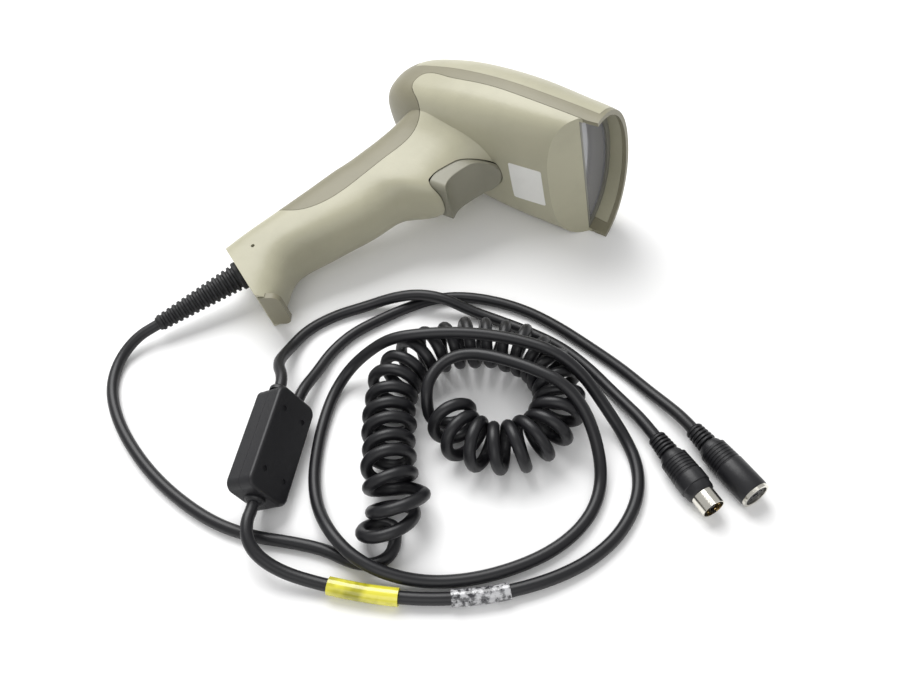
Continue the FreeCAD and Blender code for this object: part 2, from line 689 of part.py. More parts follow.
sensor = Piece("sensor_board")
sensor.block(("board_thick", "imager_width - 2", "imager_height - 5"),
             ("head_length - 17.0 - imager_length - 1.5 - board_thick", "0 - imager_width / 2 + 1", "-6"))
sensor.block(("1.2", "7", "7"), ("head_length - 17.0 - imager_length - 1.5", "-3.5", "-2"))

barrel = Piece("lens_barrel")
barrel.rod("lens_size / 2", "12", ("head_length - 17.0 - 11", "0", "1.5"), "x")
barrel.rod("lens_size / 2 - 1.2", "13", ("head_length - 17.0 - 11.5", "0", "1.5"), "x", cut=True)

lens = Piece("imager_lens")
lens.rod("lens_size / 2 - 1.2", "2", ("head_length - 17.0 - 2", "0", "1.5"), "x")

lights = Piece("illumination_board")
lights.block(("1.2", "imager_width", "imager_height - 4"),
             ("head_length - 17.0 - 1.5", "0 - imager_width / 2", "-6.6"))
lights.rod("lens_size / 2 + 0.1", "4", ("head_length - 17.0 - 3", "0", "1.5"), "x", cut=True)

leds = Piece("led_lenses")
for y in ("-10.5", "10.5"):
    for z in ("-2.5", "5.5"):
        leds.rod("2", "1.2", ("head_length - 17.0 - 0.3", y, z), "x")

board_screws = Piece("board_screws")
for x in ("42", "76"):
    for y in ("-15", "15"):
        board_screws.rod("1.6", "1.2", (x, y, "board_thick - 1"))
        board_screws.rod("0.8", "6", (x, y, "board_thick - 6.5"))

frame_screws = Piece("frame_screws")
for x, y in (("46", "24"), ("46", "-24"), ("head_length - 29.0", "24"), ("head_length - 29.0", "-24")):
    frame_screws.rod("2", "1.4", (x, y, "-7"))
    frame_screws.rod("0.95", "8", (x, y, "-14.5"))

status = Piece("status_lens")
status.rod("2.6 - 0.1", "7", (str(STATUS_X), "0", "head_rise - 7"))


# ---------------------------------------------------------------- handle and foot
def make_housing_screws():
    screws = []
    for level in SCREW_LEVELS:
        seat = back_point(level) + ACROSS * 1.1
        head = cylinder(SCREW, 1.0, seat - ACROSS * 1.0, ACROSS)
        screws.append(head.fuse(cylinder(SCREW / 2 - 0.05, 9.0, seat, ACROSS)))
    return Part.Compound(screws)


keep("housing_screws", make_housing_screws())

jack = Piece("cable_jack", FOOT)
jack.block(("jack_width", "jack_height", "jack_length"), ("0 - jack_width / 2", "0 - jack_height / 2", "12"))
jack.block(("plug_width + 0.3", "plug_height + 0.3", "plug_length - 8.5"),
           ("0 - plug_width / 2 - 0.15", "0 - plug_height / 2 - 0.15", "11.9"), cut=True)
jack.block(("4.4", "2.6", "9"), ("-2.2", "0 - plug_height / 2 - 2.5", "11.9"), cut=True)

jack_board = Piece("jack_board", FOOT)
jack_board.block(("17", "board_thick", "24"), ("-8", "jack_height / 2", "11"))

plug = Piece("cable_plug", FOOT)
plug.block(("plug_width", "plug_height", "plug_length"), ("0 - plug_width / 2", "0 - plug_height / 2", "3.2"))

latch = Piece("plug_latch", FOOT)
latch.block(("3.2", "1.1", "15"), ("-1.6", "0 - plug_height / 2 - 1.1", "5"))


def make_ribbon():
    """Flat cable from the main board down the handle to the jack's board."""
    top = V(27.0, 0, -1.4)
    end = FOOT_EDGE - FOOT_ALONG * (CORD_BACK - 6.0) - FOOT_OUT * RIBBON_STOP
    line = [top, V(27.0, 0, -14.0), V(handle_back_at(-60.0) + 14.5, 0, -60.0), end]
    half = 0.35
    bones = []
    for a, b in zip(line, line[1:]):
        run = (b - a).normalize()
        aside = V(run.z, 0, -run.x) * half
        bones.append(Part.Face(Part.makePolygon([a - aside - run * 0.2, b - aside + run * 0.2,
                                                 b + aside + run * 0.2, a + aside - run * 0.2,
                                                 a - aside - run * 0.2])).extrude(V(0, 4.6, 0)))
    ribbon = bones[0].fuse(bones[1:])
    ribbon.translate(V(0, 4.5, 0))
    return ribbon.removeSplitter()


RIBBON_STOP = 35.6
keep("ribbon_cable", make_ribbon())


# ---------------------------------------------------------------- cords, on the table
CABLE = size("cable")
COIL = size("coil_size")


def tangent_path(points):
    """Straight runs joined by tangent arcs, each as large as its two runs allow."""
    edges = []
    radii = []
    start = points[0]
    for before, corner, after in zip(points, points[1:], points[2:]):
        back = before - corner
        ahead = after - corner
        reach = 0.45 * min(back.Length, ahead.Length)
        back.normalize()
        ahead.normalize()
        half_turn = (math.pi - back.getAngle(ahead)) / 2
        radius = reach / math.tan(half_turn)
        radii.append(radius)
        inward = (back + ahead).normalize()
        middle = corner + inward * (radius / math.cos(half_turn) - radius)
        edges.append(Part.LineSegment(start, corner + back * reach).toShape())
        edges.append(Part.Arc(corner + back * reach, middle, corner + ahead * reach).toShape())
        start = corner + ahead * reach
    edges.append(Part.LineSegment(start, points[-1]).toShape())
    return edges, radii


def sweep(edges, diameter):
    """Round tube along a path of edges."""
    path = Part.Wire(edges)
    start = edges[0].valueAt(edges[0].FirstParameter)
    heading = edges[0].tangentAt(edges[0].FirstParameter)
    ring = Part.Wire(Part.makeCircle(diameter / 2, start, heading))
    return path.makePipeShell([ring], True, False)


def keep_cord(label, points, diameter):
    edges, radii = tangent_path(points)
    solid = sweep(edges, diameter)
    length = sum(edge.Length for edge in edges)
    section = math.pi * diameter ** 2 / 4
    print("%s: %.1f mm long, volume over section times length %.4f, radii %s"
          % (label, length, solid.Volume / (section * length), " ".join("%.1f" % r for r in radii)))
    keep(label, solid, TABLE)
    return edges


# strain relief in the end of the handle: neck in the hole, flange on the end face, long taper
BOOT_LENGTH = 44.0
BOOT_FLANGE = 2.4
BOOT_NECK = 3.2


def make_boot():
    neck = cylinder(size("boot_hole") / 2 - 0.2, BOOT_NECK + 0.5, V(0, 0, -0.5), V(0, 0, 1))
    flange = cylinder(size("boot_base") / 2, BOOT_FLANGE, V(0, 0, -BOOT_FLANGE), V(0, 0, 1))
    taper = Part.makeCone(size("boot_tip") / 2, size("boot_base") / 2 - 1.2, BOOT_LENGTH - BOOT_FLANGE + 0.5,
                          V(0, 0, -BOOT_LENGTH), V(0, 0, 1))
    return neck.fuse([flange, taper]).removeSplitter()


keep("cable_boot", make_boot(), FOOT)
BOOT_END = FOOT.multVec(V(0, 0, -BOOT_LENGTH))
BOOT_AIM = FOOT.Rotation.multVec(V(0, 0, -1))

# splitter: frame in the middle of its flat side, X along it towards the end where the scanner's
# lead enters; it lies on one long edge, rolled over against the cord beside it
SPLITTER_END = size("splitter_long") / 2
SPLITTER_HALF = size("splitter_wide") / 2
PORT_LEVEL = size("splitter_high") / 2
LEAN = math.radians(size("splitter_lean"))
SPLITTER_MIDDLE = V(11.5, -131.0, SPLITTER_HALF * math.sin(LEAN) + PORT_LEVEL * math.cos(LEAN))
SPLITTER_TURN = Rotation(V(0, 0, 1), -67.0) * Rotation(V(1, 0, 0), -size("splitter_lean"))
SPLITTER = Placement(SPLITTER_MIDDLE - SPLITTER_TURN.multVec(V(0, 0, PORT_LEVEL)), SPLITTER_TURN)
PLUG_PORT = -6.0
SOCKET_PORT = 5.0
SPLITTER_AIM = SPLITTER.Rotation.multVec(V(1, 0, 0))
LEAD_IN = SPLITTER.multVec(V(SPLITTER_END, 0, PORT_LEVEL))
PLUG_OUT = SPLITTER.multVec(V(-SPLITTER_END, PLUG_PORT, PORT_LEVEL))
SOCKET_OUT = SPLITTER.multVec(V(-SPLITTER_END, SOCKET_PORT, PORT_LEVEL))

# round connectors: frame where the cable enters, X along the connector
GRIP_LEVEL = size("connector_body") / 2
PLUG_AT = Placement(V(139.5, -45.5, GRIP_LEVEL), Rotation(V(0, 0, 1), -29.4))
SOCKET_AT = Placement(V(150.5, -34.5, GRIP_LEVEL), Rotation(V(0, 0, 1), -25.8))

# the curly cord: middle line of its outer shape, and where the leads meet its two end faces
LIE = COIL / 2
COIL_LINE = [
    V(66.5, -126.0, LIE), V(58.3, -115.7, LIE), V(49.5, -104.0, LIE), V(41.0, -91.0, LIE),
    V(34.8, -78.0, LIE), V(35.8, -63.0, LIE), V(44.5, -50.0, LIE), V(57.5, -41.5, LIE),
    V(73.0, -37.0, LIE), V(88.5, -40.0, LIE), V(99.5, -51.0, LIE), V(103.0, -66.0, LIE),
    V(97.0, -80.5, LIE), V(83.5, -88.0, LIE), V(69.5, -86.5, LIE), V(62.0, -78.5, LIE),
]
TURN_RADIUS = (COIL - CABLE) / 2 - 0.1


def on_end_face(face_at, heading, sideways, up):
    """Point of a coil's end face, off its middle to the left of its heading and up."""
    left = V(-heading.y, heading.x, 0).normalize()
    return face_at + left * sideways * TURN_RADIUS + V(0, 0, up * TURN_RADIUS)


COIL_START_AIM = (COIL_LINE[1] - COIL_LINE[0]).normalize()
COIL_END_AIM = (COIL_LINE[-1] - COIL_LINE[-2]).normalize()
COIL_IN = on_end_face(COIL_LINE[0], COIL_START_AIM, -0.7, -0.7)
COIL_OUT = on_end_face(COIL_LINE[-1], COIL_END_AIM, 0.6, 0.78)

# from the strain relief round to the start of the curly cord
HANDLE_LEAD = [
    BOOT_END, BOOT_END + BOOT_AIM * 11.0,
    V(-85.5, -129.5, 3.0), V(-78.0, -142.5, 2.5), V(-64.0, -152.5, 2.5), V(-47.0, -160.0, 2.5),
    V(-28.0, -165.4, 2.5), V(-9.0, -167.6, 2.5), V(9.0, -167.0, 2.5), V(25.0, -163.2, 2.5),
    V(39.5, -156.4, 2.5), V(53.0, -151.0, 2.5), V(66.2, -149.5, 2.5), V(72.6, -146.2, 2.5),
    V(76.8, -140.6, 2.6), V(78.0, -133.9, 3.6), COIL_IN - COIL_START_AIM * 6.0, COIL_IN,
]
# from the curly cord's inner end, over it, round two loops and into the splitter
LOOP_LEAD = [
    COIL_OUT, COIL_OUT + COIL_END_AIM * 5.6, V(52.4, -72.6, 19.4), V(52.7, -66.9, 20.6),
    V(55.2, -61.8, 22.6), V(59.7, -58.4, 25.4), V(66.8, -56.2, 29.2), V(77.0, -54.6, 31.0),
    V(88.5, -53.6, 31.0), V(100.5, -53.4, 31.0), V(111.8, -55.8, 27.5), V(121.5, -61.8, 16.0),
    V(129.0, -71.5, 5.0), V(132.5, -84.0, 2.5), V(131.5, -97.0, 2.5), V(126.5, -110.0, 2.5),
    V(118.0, -122.5, 2.5), V(107.0, -134.0, 2.5), V(94.0, -143.5, 5.0), V(80.5, -149.8, 14.0),
    V(66.5, -151.6, 16.2), V(53.0, -148.0, 16.2), V(39.8, -140.4, 8.5), V(29.5, -130.0, 2.8),
    V(21.8, -117.4, 2.5), V(15.8, -104.8, 2.5), V(11.6, -92.6, 3.5), V(11.8, -81.2, 11.5),
    V(17.6, -74.0, 21.5), V(26.5, -68.0, 29.5), V(38.0, -61.4, 31.2), V(50.0, -53.8, 31.2),
    V(63.0, -47.6, 31.2), V(77.0, -43.4, 31.2), V(91.0, -41.4, 31.0), V(104.0, -41.8, 27.0),
    V(116.0, -44.4, 15.5), V(128.0, -49.6, 4.5), V(138.6, -59.0, 2.5), V(145.0, -72.0, 2.5),
    V(146.0, -88.0, 2.5), V(142.0, -102.5, 2.5), V(135.5, -114.5, 3.0), V(126.5, -126.0, 3.5),
    V(114.5, -137.4, 3.5), V(97.0, -149.8, 3.8), V(76.5, -159.3, 3.8), V(57.5, -165.8, 4.2),
    V(45.0, -169.4, 8.4), V(35.0, -170.0, 14.8), V(28.2, -167.0, 16.2), V(24.2, -161.6, 15.2),
    LEAD_IN + SPLITTER_AIM * 4.8, LEAD_IN,
]
# the two tails of the splitter: the plug's lead crosses over the socket's
PLUG_LEAD = [
    PLUG_OUT, PLUG_OUT - SPLITTER_AIM * 7.0,
    V(-14.0, -97.0, 12.5), V(-19.5, -85.0, 4.5), V(-20.5, -70.5, 2.5), V(-14.5, -57.0, 2.5),
    V(-5.0, -45.5, 3.0), V(4.5, -37.6, 12.5), V(15.0, -31.4, 15.6), V(26.5, -27.4, 15.2),
    V(38.5, -24.8, 6.5), V(52.0, -22.4, 2.5), V(68.0, -21.2, 2.5), V(84.0, -21.6, 2.5),
    V(99.0, -25.6, 2.5), V(113.0, -31.6, 2.6), V(123.5, -36.8, 4.6),
    PLUG_AT.multVec(V(-9.0, 0, 0)), PLUG_AT.Base,
]
SOCKET_LEAD = [
    SOCKET_OUT, SOCKET_OUT - SPLITTER_AIM * 7.0,
    V(-0.8, -88.5, 4.2), V(-3.2, -75.0, 2.5), V(-1.2, -61.5, 2.5), V(5.0, -48.5, 2.5),
    V(11.5, -37.0, 2.5), V(18.5, -27.0, 2.5), V(29.5, -18.6, 2.5), V(44.0, -13.4, 2.5),
    V(60.0, -11.0, 2.5), V(77.0, -12.2, 2.5), V(94.0, -15.4, 2.5), V(111.0, -19.0, 2.5),
    V(126.0, -24.0, 2.8), V(136.5, -28.2, 4.8), SOCKET_AT.multVec(V(-7.0, 0, 0)), SOCKET_AT.Base,
]

keep_cord("handle_lead", HANDLE_LEAD, CABLE)
keep_cord("curly_cord", COIL_LINE, COIL)
loop_edges = keep_cord("loop_lead", LOOP_LEAD, CABLE)
keep_cord("plug_lead", PLUG_LEAD, CABLE)
keep_cord("socket_lead", SOCKET_LEAD, CABLE)


# ---------------------------------------------------------------- what is on the cords
SLEEVE_GAP = 0.05


def make_sleeve(edges, corner, diameter):
    """Sleeve round the cable, along the arc at one corner of its route and the straights beside it."""
    first = 2 * corner - 2
    stretch = edges[first:first + 3]
    return sweep(stretch, diameter).cut(sweep(stretch, CABLE + 2 * SLEEVE_GAP))


keep("yellow_sleeve", make_sleeve(loop_edges, 46, CABLE + 2.0), TABLE)
keep("clear_sleeve", make_sleeve(loop_edges, 44, CABLE + 1.4), TABLE)

SPLITTER_WALL = 1.6
DIMPLES = [(-14.0, -5.5), (-14.0, 5.5), (14.0, -5.5), (14.0, 5.5)]


def upright_edges(block):
    return [e for e in block.Edges if abs(e.Vertexes[0].Z - e.Vertexes[-1].Z) > 1.0]


def make_splitter():
    """Two shells that meet half way up, with rounded corners and four shallow dimples on top."""
    high = size("splitter_high")
    wall = SPLITTER_WALL
    block = Part.makeBox(2 * SPLITTER_END, 2 * SPLITTER_HALF, high, V(-SPLITTER_END, -SPLITTER_HALF, 0))
    block = block.makeFillet(4.0, upright_edges(block))
    rims = [e for e in block.Edges if e.BoundBox.ZLength < 0.01 and e.CenterOfMass.z > high - 0.1]
    block = block.makeFillet(1.4, rims)
    room = Part.makeBox(2 * SPLITTER_END - 2 * wall, 2 * SPLITTER_HALF - 2 * wall, high - 2 * wall,
                        V(-SPLITTER_END + wall, -SPLITTER_HALF + wall, wall))
    shell = block.cut(room.makeFillet(4.0 - wall, upright_edges(room)))
    for x, y in DIMPLES:
        shell = shell.cut(cylinder(1.2, 1.0, V(x, y, high - 0.5), V(0, 0, 1)))
    span = 2 * size("splitter_long")
    above = Part.makeBox(2 * span, 2 * span, high, V(-span, -span, PORT_LEVEL))
    return shell.common(above.translated(V(0, 0, 0.05))), shell.cut(above.translated(V(0, 0, -0.05)))


top_shell, bottom_shell = make_splitter()
keep("splitter_top_shell", top_shell, SPLITTER)
keep("splitter_bottom_shell", bottom_shell, SPLITTER)

splitter_board = Piece("splitter_board", SPLITTER)
splitter_board.block(("splitter_long - 10", "splitter_wide - 8", "board_thick"),
                     ("5 - splitter_long / 2", "4 - splitter_wide / 2", "3"))
for x in ("-12", "12"):
    splitter_board.rod("2", "1.5", (x, "0", "1.6"))

# ribbed tail, round grip, metal shell, insert and six pins
plug_grip = Piece("plug_grip", PLUG_AT)
plug_grip.rod("cable / 2 + 0.9", "10", ("0", "0", "0"), "x")
for x in ("0.8", "3.8", "6.8"):
    plug_grip.rod("cable / 2 + 1.9", "1.5", (x, "0", "0"), "x")
plug_grip.rod("connector_body / 2", "21", ("9", "0", "0"), "x")

plug_shell = Piece("plug_shell", PLUG_AT)
plug_shell.rod("connector_shell / 2", "7", ("30", "0", "0"), "x")
plug_shell.rod("connector_shell / 2 - 0.4", "9", ("29", "0", "0"), "x", cut=True)

plug_insert = Piece("plug_insert", PLUG_AT)
plug_insert.rod("connector_shell / 2 - 0.45", "3.5", ("30", "0", "0"), "x")
plug_insert.block(("5.5", "2.4", "1.2"), ("30.5", "-1.2", "-0.6"))

PIN_RING = 2.9
plug_pins = Piece("plug_pins", PLUG_AT)
for angle in (35, 80, 145, 215, 280, 325):
    y = "%.3f" % (PIN_RING * math.sin(math.radians(angle)))
    z = "%.3f" % (PIN_RING * math.cos(math.radians(angle)))
    plug_pins.rod("0.4", "2.8", ("33.5", y, z), "x")

socket_grip = Piece("socket_grip", SOCKET_AT)
socket_grip.rod("cable / 2 + 0.9", "10", ("0", "0", "0"), "x")
for x in ("0.8", "3.8", "6.8"):
    socket_grip.rod("cable / 2 + 1.9", "1.5", (x, "0", "0"), "x")
socket_grip.rod("connector_body / 2", "22", ("9", "0", "0"), "x")

socket_shell = Piece("socket_shell", SOCKET_AT)
socket_shell.rod("connector_body / 2 - 0.3", "5.5", ("31", "0", "0"), "x")
socket_shell.rod("connector_shell / 2 + 0.15", "8", ("30", "0", "0"), "x", cut=True)

socket_insert = Piece("socket_insert", SOCKET_AT)
socket_insert.rod("connector_shell / 2 + 0.1", "4.8", ("31", "0", "0"), "x")
socket_insert.block(("3", "2.6", "1.4"), ("33.5", "-1.3", "-0.7"), cut=True)
for angle in (35, 80, 145, 215, 280, 325):
    y = "%.3f" % (PIN_RING * math.sin(math.radians(angle)))
    z = "%.3f" % (PIN_RING * math.cos(math.radians(angle)))
    socket_insert.rod("0.5", "3", ("33.5", y, z), "x", cut=True)


# ---------------------------------------------------------------- check and write
doc.recompute()
for made in doc.Objects:
    if "Invalid" in made.State or "Error" in made.State:
        raise RuntimeError("%s did not build: %s" % (made.Label, made.State))
os.makedirs("parts", exist_ok=True)
for label, piece in pieces.items():
    if piece.Shape.isNull() or not piece.Shape.isValid():
        raise RuntimeError("%s has no valid shape" % label)
    piece.Shape.exportStep("parts/%s.step" % label)
print("%d pieces" % len(pieces))
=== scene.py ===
import bmesh
import bpy
import json
import math
from bpy.props import FloatProperty, FloatVectorProperty, IntProperty, PointerProperty
from mathutils import Matrix, Vector

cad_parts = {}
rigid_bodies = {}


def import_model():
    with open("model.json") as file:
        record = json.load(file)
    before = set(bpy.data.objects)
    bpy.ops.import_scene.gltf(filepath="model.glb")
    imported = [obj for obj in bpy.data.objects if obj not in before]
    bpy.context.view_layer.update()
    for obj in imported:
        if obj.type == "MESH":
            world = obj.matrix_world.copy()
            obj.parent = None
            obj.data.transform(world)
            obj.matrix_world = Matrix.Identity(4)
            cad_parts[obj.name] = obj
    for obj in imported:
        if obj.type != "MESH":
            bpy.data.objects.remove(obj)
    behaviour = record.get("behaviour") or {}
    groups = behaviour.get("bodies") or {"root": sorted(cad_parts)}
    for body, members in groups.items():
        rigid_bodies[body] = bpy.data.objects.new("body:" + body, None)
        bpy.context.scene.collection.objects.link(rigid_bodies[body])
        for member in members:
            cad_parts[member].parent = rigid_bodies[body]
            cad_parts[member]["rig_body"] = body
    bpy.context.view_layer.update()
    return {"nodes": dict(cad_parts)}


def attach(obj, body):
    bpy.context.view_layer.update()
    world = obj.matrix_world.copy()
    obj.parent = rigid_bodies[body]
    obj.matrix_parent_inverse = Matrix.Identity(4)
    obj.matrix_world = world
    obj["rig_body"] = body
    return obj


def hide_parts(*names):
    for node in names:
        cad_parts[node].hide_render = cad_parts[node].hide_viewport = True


bl_info = {
    "name": "Handheld barcode scanner",
    "version": (1, 0, 0),
    "blender": (4, 5, 0),
    "location": "View3D > Sidebar > Scanner",
    "description": "Surfaces, cords and connectors of a handheld barcode scanner around its CAD frame",
    "category": "Object",
}

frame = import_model()
cad_nodes = frame["nodes"]
MM = 0.001


def srgb(red, green, blue):
    """Linear colour of an 8-bit display colour."""
    out = []
    for value in (red, green, blue):
        c = value / 255
        out.append(c / 12.92 if c <= 0.04045 else ((c + 0.055) / 1.055) ** 2.4)
    return tuple(out) + (1.0,)


# ---------------------------------------------------------------- routes of the cords, mm
def mm(x, y, z):
    return Vector((x, y, z)) * MM


FOOT_EXIT = mm(-59.385, -66.366, 15.197)
BOOT_AIM = Vector((-0.44336, -0.88125, -0.16382)).normalized()
BOOT_LENGTH = 44.0
BOOT_TIP = FOOT_EXIT + BOOT_AIM * BOOT_LENGTH * MM

# the splitter lies on one long edge; its frame is in its middle, X towards the scanner's cord
SPLITTER_FRAME = (Matrix.Translation(mm(11.5, -131.0, 12.56)) @ Matrix.Rotation(math.radians(-67.0), 4, "Z")
                  @ Matrix.Rotation(math.radians(-60.0), 4, "X"))
SPLITTER_AIM = (SPLITTER_FRAME.to_3x3() @ Vector((1, 0, 0))).normalized()
PLUG_OUT = SPLITTER_FRAME @ mm(-23.5, -6.0, 0)
SOCKET_OUT = SPLITTER_FRAME @ mm(-23.5, 5.0, 0)

HANDLE_LEAD = [
    FOOT_EXIT, FOOT_EXIT + BOOT_AIM * 0.015, FOOT_EXIT + BOOT_AIM * 0.030, BOOT_TIP,
    BOOT_TIP + BOOT_AIM * 0.011,
    mm(-84.0, -127.5, 3.0), mm(-76.5, -140.0, 2.5), mm(-63.0, -150.0, 2.5), mm(-46.5, -157.6, 2.5),
    mm(-28.0, -163.2, 2.5), mm(-9.0, -166.0, 2.5), mm(9.0, -166.2, 2.5), mm(25.0, -162.8, 2.5),
    mm(39.5, -156.8, 2.5), mm(53.0, -152.4, 2.5), mm(65.4, -151.4, 2.5), mm(73.0, -147.6, 2.5),
    mm(76.6, -140.6, 3.4),
]
# middle line of the turns: two loose rings where the coil starts, then the even coil
RING_TURNS = 2.0
COIL_START = 215.0  # phase of the coil's first point, degrees
COIL_END = 340.0  # phase of its last point, degrees
AXIS_SPACING = 0.0005  # spacing of the points read from the middle lines, m
HEADING_REACH = 0.012  # share of the coil's line, either way, over which its heading is read
RINGS_FACE = 12  # the rings face the way the coil's line runs up to this point of it
RING_LEAN = 62.0  # how far the first ring leans back, degrees
LEAN_TURNS = 3.2  # turns over which the rings stand up
LEAN_POWER = 0.7  # how fast they do
LOOSE_TURN = 1.55  # where the rings are loosest, in turns
LOOSE_SPREAD = 1.1  # turns either side of it
LOOSE_EXTRA = 0.0018  # what it adds to the radius, m
FIRST_TIGHTER = 0.0004  # how much smaller the first ring starts, m
WANDER = ((0.00035, 2.4, 0.0), (0.0002, 5.3, 1.0))  # unevenness: size in m, radians per turn, phase
FLOOR_GAP = 0.0001  # clear space kept under the coil, m
RING_LINE = [mm(69.5, -139.5, 6.4), mm(68.6, -133.0, 7.4), mm(70.5, -125.5, 9.4), mm(68.0, -122.0, 10.6)]
COIL_LINE = [
    mm(64.5, -122.5, 11.3), mm(58.3, -115.7, 11.3), mm(49.5, -104.0, 11.3), mm(41.0, -91.0, 11.3),
    mm(34.8, -78.0, 11.3), mm(35.8, -63.0, 11.3), mm(44.5, -50.0, 11.3), mm(57.5, -41.5, 11.3),
    mm(73.0, -37.0, 11.3), mm(88.5, -40.0, 11.3), mm(99.5, -51.0, 11.3), mm(103.0, -66.0, 11.3),
    mm(97.0, -80.5, 11.3), mm(83.5, -88.0, 11.3), mm(69.5, -86.5, 11.3), mm(62.0, -78.5, 11.3),
]
LOOP_LEAD = [
    mm(52.9, -80.8, 15.4), mm(50.6, -75.6, 18.2), mm(50.6, -69.2, 20.0), mm(53.2, -63.2, 21.8),
    mm(58.4, -59.0, 23.6), mm(66.0, -56.4, 25.2), mm(77.0, -54.6, 26.4),
    mm(88.5, -53.6, 27.0), mm(100.5, -53.4, 26.6), mm(111.8, -55.8, 20.5), mm(121.5, -61.8, 10.0),
    mm(129.0, -71.5, 3.4), mm(132.5, -84.0, 2.5), mm(131.5, -97.0, 2.5), mm(126.5, -110.0, 2.5),
    mm(118.0, -122.5, 2.5), mm(107.0, -134.0, 2.5), mm(94.0, -143.5, 3.2), mm(80.5, -149.8, 6.6),
    mm(66.5, -151.6, 9.0), mm(53.0, -148.0, 8.8), mm(39.8, -140.4, 4.4), mm(29.5, -130.0, 2.5),
    mm(21.8, -117.4, 2.5), mm(15.8, -104.8, 2.5), mm(11.6, -92.6, 2.8), mm(11.8, -81.2, 6.5),
    mm(17.6, -74.0, 14.5), mm(26.5, -68.0, 23.5), mm(38.0, -61.4, 26.6), mm(50.0, -53.8, 26.8),
    mm(63.0, -47.6, 26.8), mm(77.0, -43.4, 26.8), mm(91.0, -41.4, 26.4), mm(104.0, -41.8, 20.5),
    mm(116.0, -44.4, 9.5), mm(128.0, -49.6, 3.2), mm(138.6, -59.0, 2.5), mm(145.0, -72.0, 2.5),
    mm(146.0, -88.0, 2.5), mm(142.0, -102.5, 2.5), mm(135.5, -114.5, 3.0), mm(126.5, -126.0, 3.5),
    mm(114.5, -137.4, 3.5), mm(97.0, -149.8, 3.8), mm(76.5, -159.3, 3.8), mm(57.5, -165.8, 4.2),
    mm(45.0, -169.4, 6.4), mm(35.0, -170.0, 9.8), mm(28.2, -167.0, 12.2), mm(24.2, -161.6, 13.2),
    mm(22.55, -157.05, 12.56), mm(20.68, -152.63, 12.56),
]
PLUG_LEAD = [
    PLUG_OUT, PLUG_OUT - SPLITTER_AIM * 0.007,
    mm(-14.0, -97.0, 12.5), mm(-19.5, -85.0, 4.5), mm(-20.5, -70.5, 2.5), mm(-14.5, -57.0, 2.5),
    mm(-5.0, -45.5, 2.8), mm(4.5, -37.6, 6.4), mm(15.0, -31.4, 8.8), mm(26.5, -27.4, 8.4),
    mm(38.5, -24.8, 4.0), mm(52.0, -22.4, 2.5), mm(68.0, -21.2, 2.5), mm(84.0, -21.6, 2.5),
    mm(99.0, -25.6, 2.5), mm(113.0, -31.6, 2.6), mm(123.5, -36.8, 4.6),
    mm(131.66, -41.08, 6.2), mm(139.5, -45.5, 6.2),
]
SOCKET_LEAD = [
    SOCKET_OUT, SOCKET_OUT - SPLITTER_AIM * 0.007,
    mm(-0.8, -88.5, 4.2), mm(-3.2, -75.0, 2.5), mm(-1.2, -61.5, 2.5), mm(5.0, -48.5, 2.5),
    mm(11.5, -37.0, 2.5), mm(18.5, -27.0, 2.5), mm(29.5, -18.6, 2.5), mm(44.0, -13.4, 2.5),
    mm(60.0, -11.0, 2.5), mm(77.0, -12.2, 2.5), mm(94.0, -15.4, 2.5), mm(111.0, -19.0, 2.5),
    mm(126.0, -24.0, 2.8), mm(136.5, -28.2, 4.8), mm(144.2, -31.45, 6.2), mm(150.5, -34.5, 6.2),
]
PLUG_FRAME = Matrix.Translation(mm(139.5, -45.5, 6.2)) @ Matrix.Rotation(math.radians(-29.4), 4, "Z")
SOCKET_FRAME = Matrix.Translation(mm(150.5, -34.5, 6.2)) @ Matrix.Rotation(math.radians(-25.8), 4, "Z")
UP = Vector((0, 0, 1))
BOOT_SIDE = UP.cross(BOOT_AIM).normalized()
BOOT_FRAME = (Matrix.Translation(FOOT_EXIT)
              @ Matrix((BOOT_AIM, BOOT_SIDE, BOOT_AIM.cross(BOOT_SIDE))).transposed().to_4x4())

# ---------------------------------------------------------------- turned pieces' profiles, (x, radius) in mm
BOOT_FLANGE = [(-2.6, 0.0), (-2.6, 4.2), (0.0, 4.2), (0.05, 6.6), (0.5, 6.9), (1.9, 6.9), (2.4, 6.5)]
BOOT_END = [(BOOT_LENGTH - 1.0, 3.3), (BOOT_LENGTH - 0.1, 3.1), (BOOT_LENGTH, 2.55), (BOOT_LENGTH - 0.3, 0.0)]
RIBS_FROM = 2.4
RIBS_TO = BOOT_LENGTH - 1.2
RIB_DEPTH = 1.0  # depth of the groove beside the widest rib
RIB_FADE = 0.35  # how much shallower it is beside the last
RIB_FLOOR = (0.25, 0.36)  # the groove's floor: a step in mm from the rib's start, then a share of the pitch
RIB_CREST = ((0.42, 0.25), (0.52, 0.0), (0.86, 0.0), (0.97, 0.3))  # share of the pitch, drop from the crest
COLLAR = [(-0.4, 2.45), (-0.4, 4.0), (1.0, 4.0), (1.8, 3.4), (2.2, 2.6), (2.2, 2.45), (-0.4, 2.45)]
COLLAR_PLACES = ((23.3, 0.0, 0.0), (-23.3, -6.0, math.pi), (-23.3, 5.0, math.pi))  # x, y, turn about Z
GRIP_BACK = [(0.0, 0.0), (0.0, 3.0), (0.25, 3.35)]
NECK_RIBS = 5
NECK_FROM = 0.5
NECK_PITCH = 1.65
NECK_FLOOR = 3.15
NECK_CREST = 3.75
NECK_GROWTH = 0.13  # each neck rib is this much larger than the last
NECK_EDGE = 0.12
GRIP_SHOULDER = [(8.9, 3.3), (9.2, 4.2), (10.2, 4.75), (11.6, 5.05), (11.9, 5.75)]
GRIP_RINGS = 6
RINGS_FROM = 12.2
RINGS_PITCH = 1.4
RINGS_CREST = 5.75
RINGS_GROWTH = 0.06
RINGS_DEPTH = 0.28
GRIP_FRONT = [(20.7, 6.0), (21.2, 6.2)]
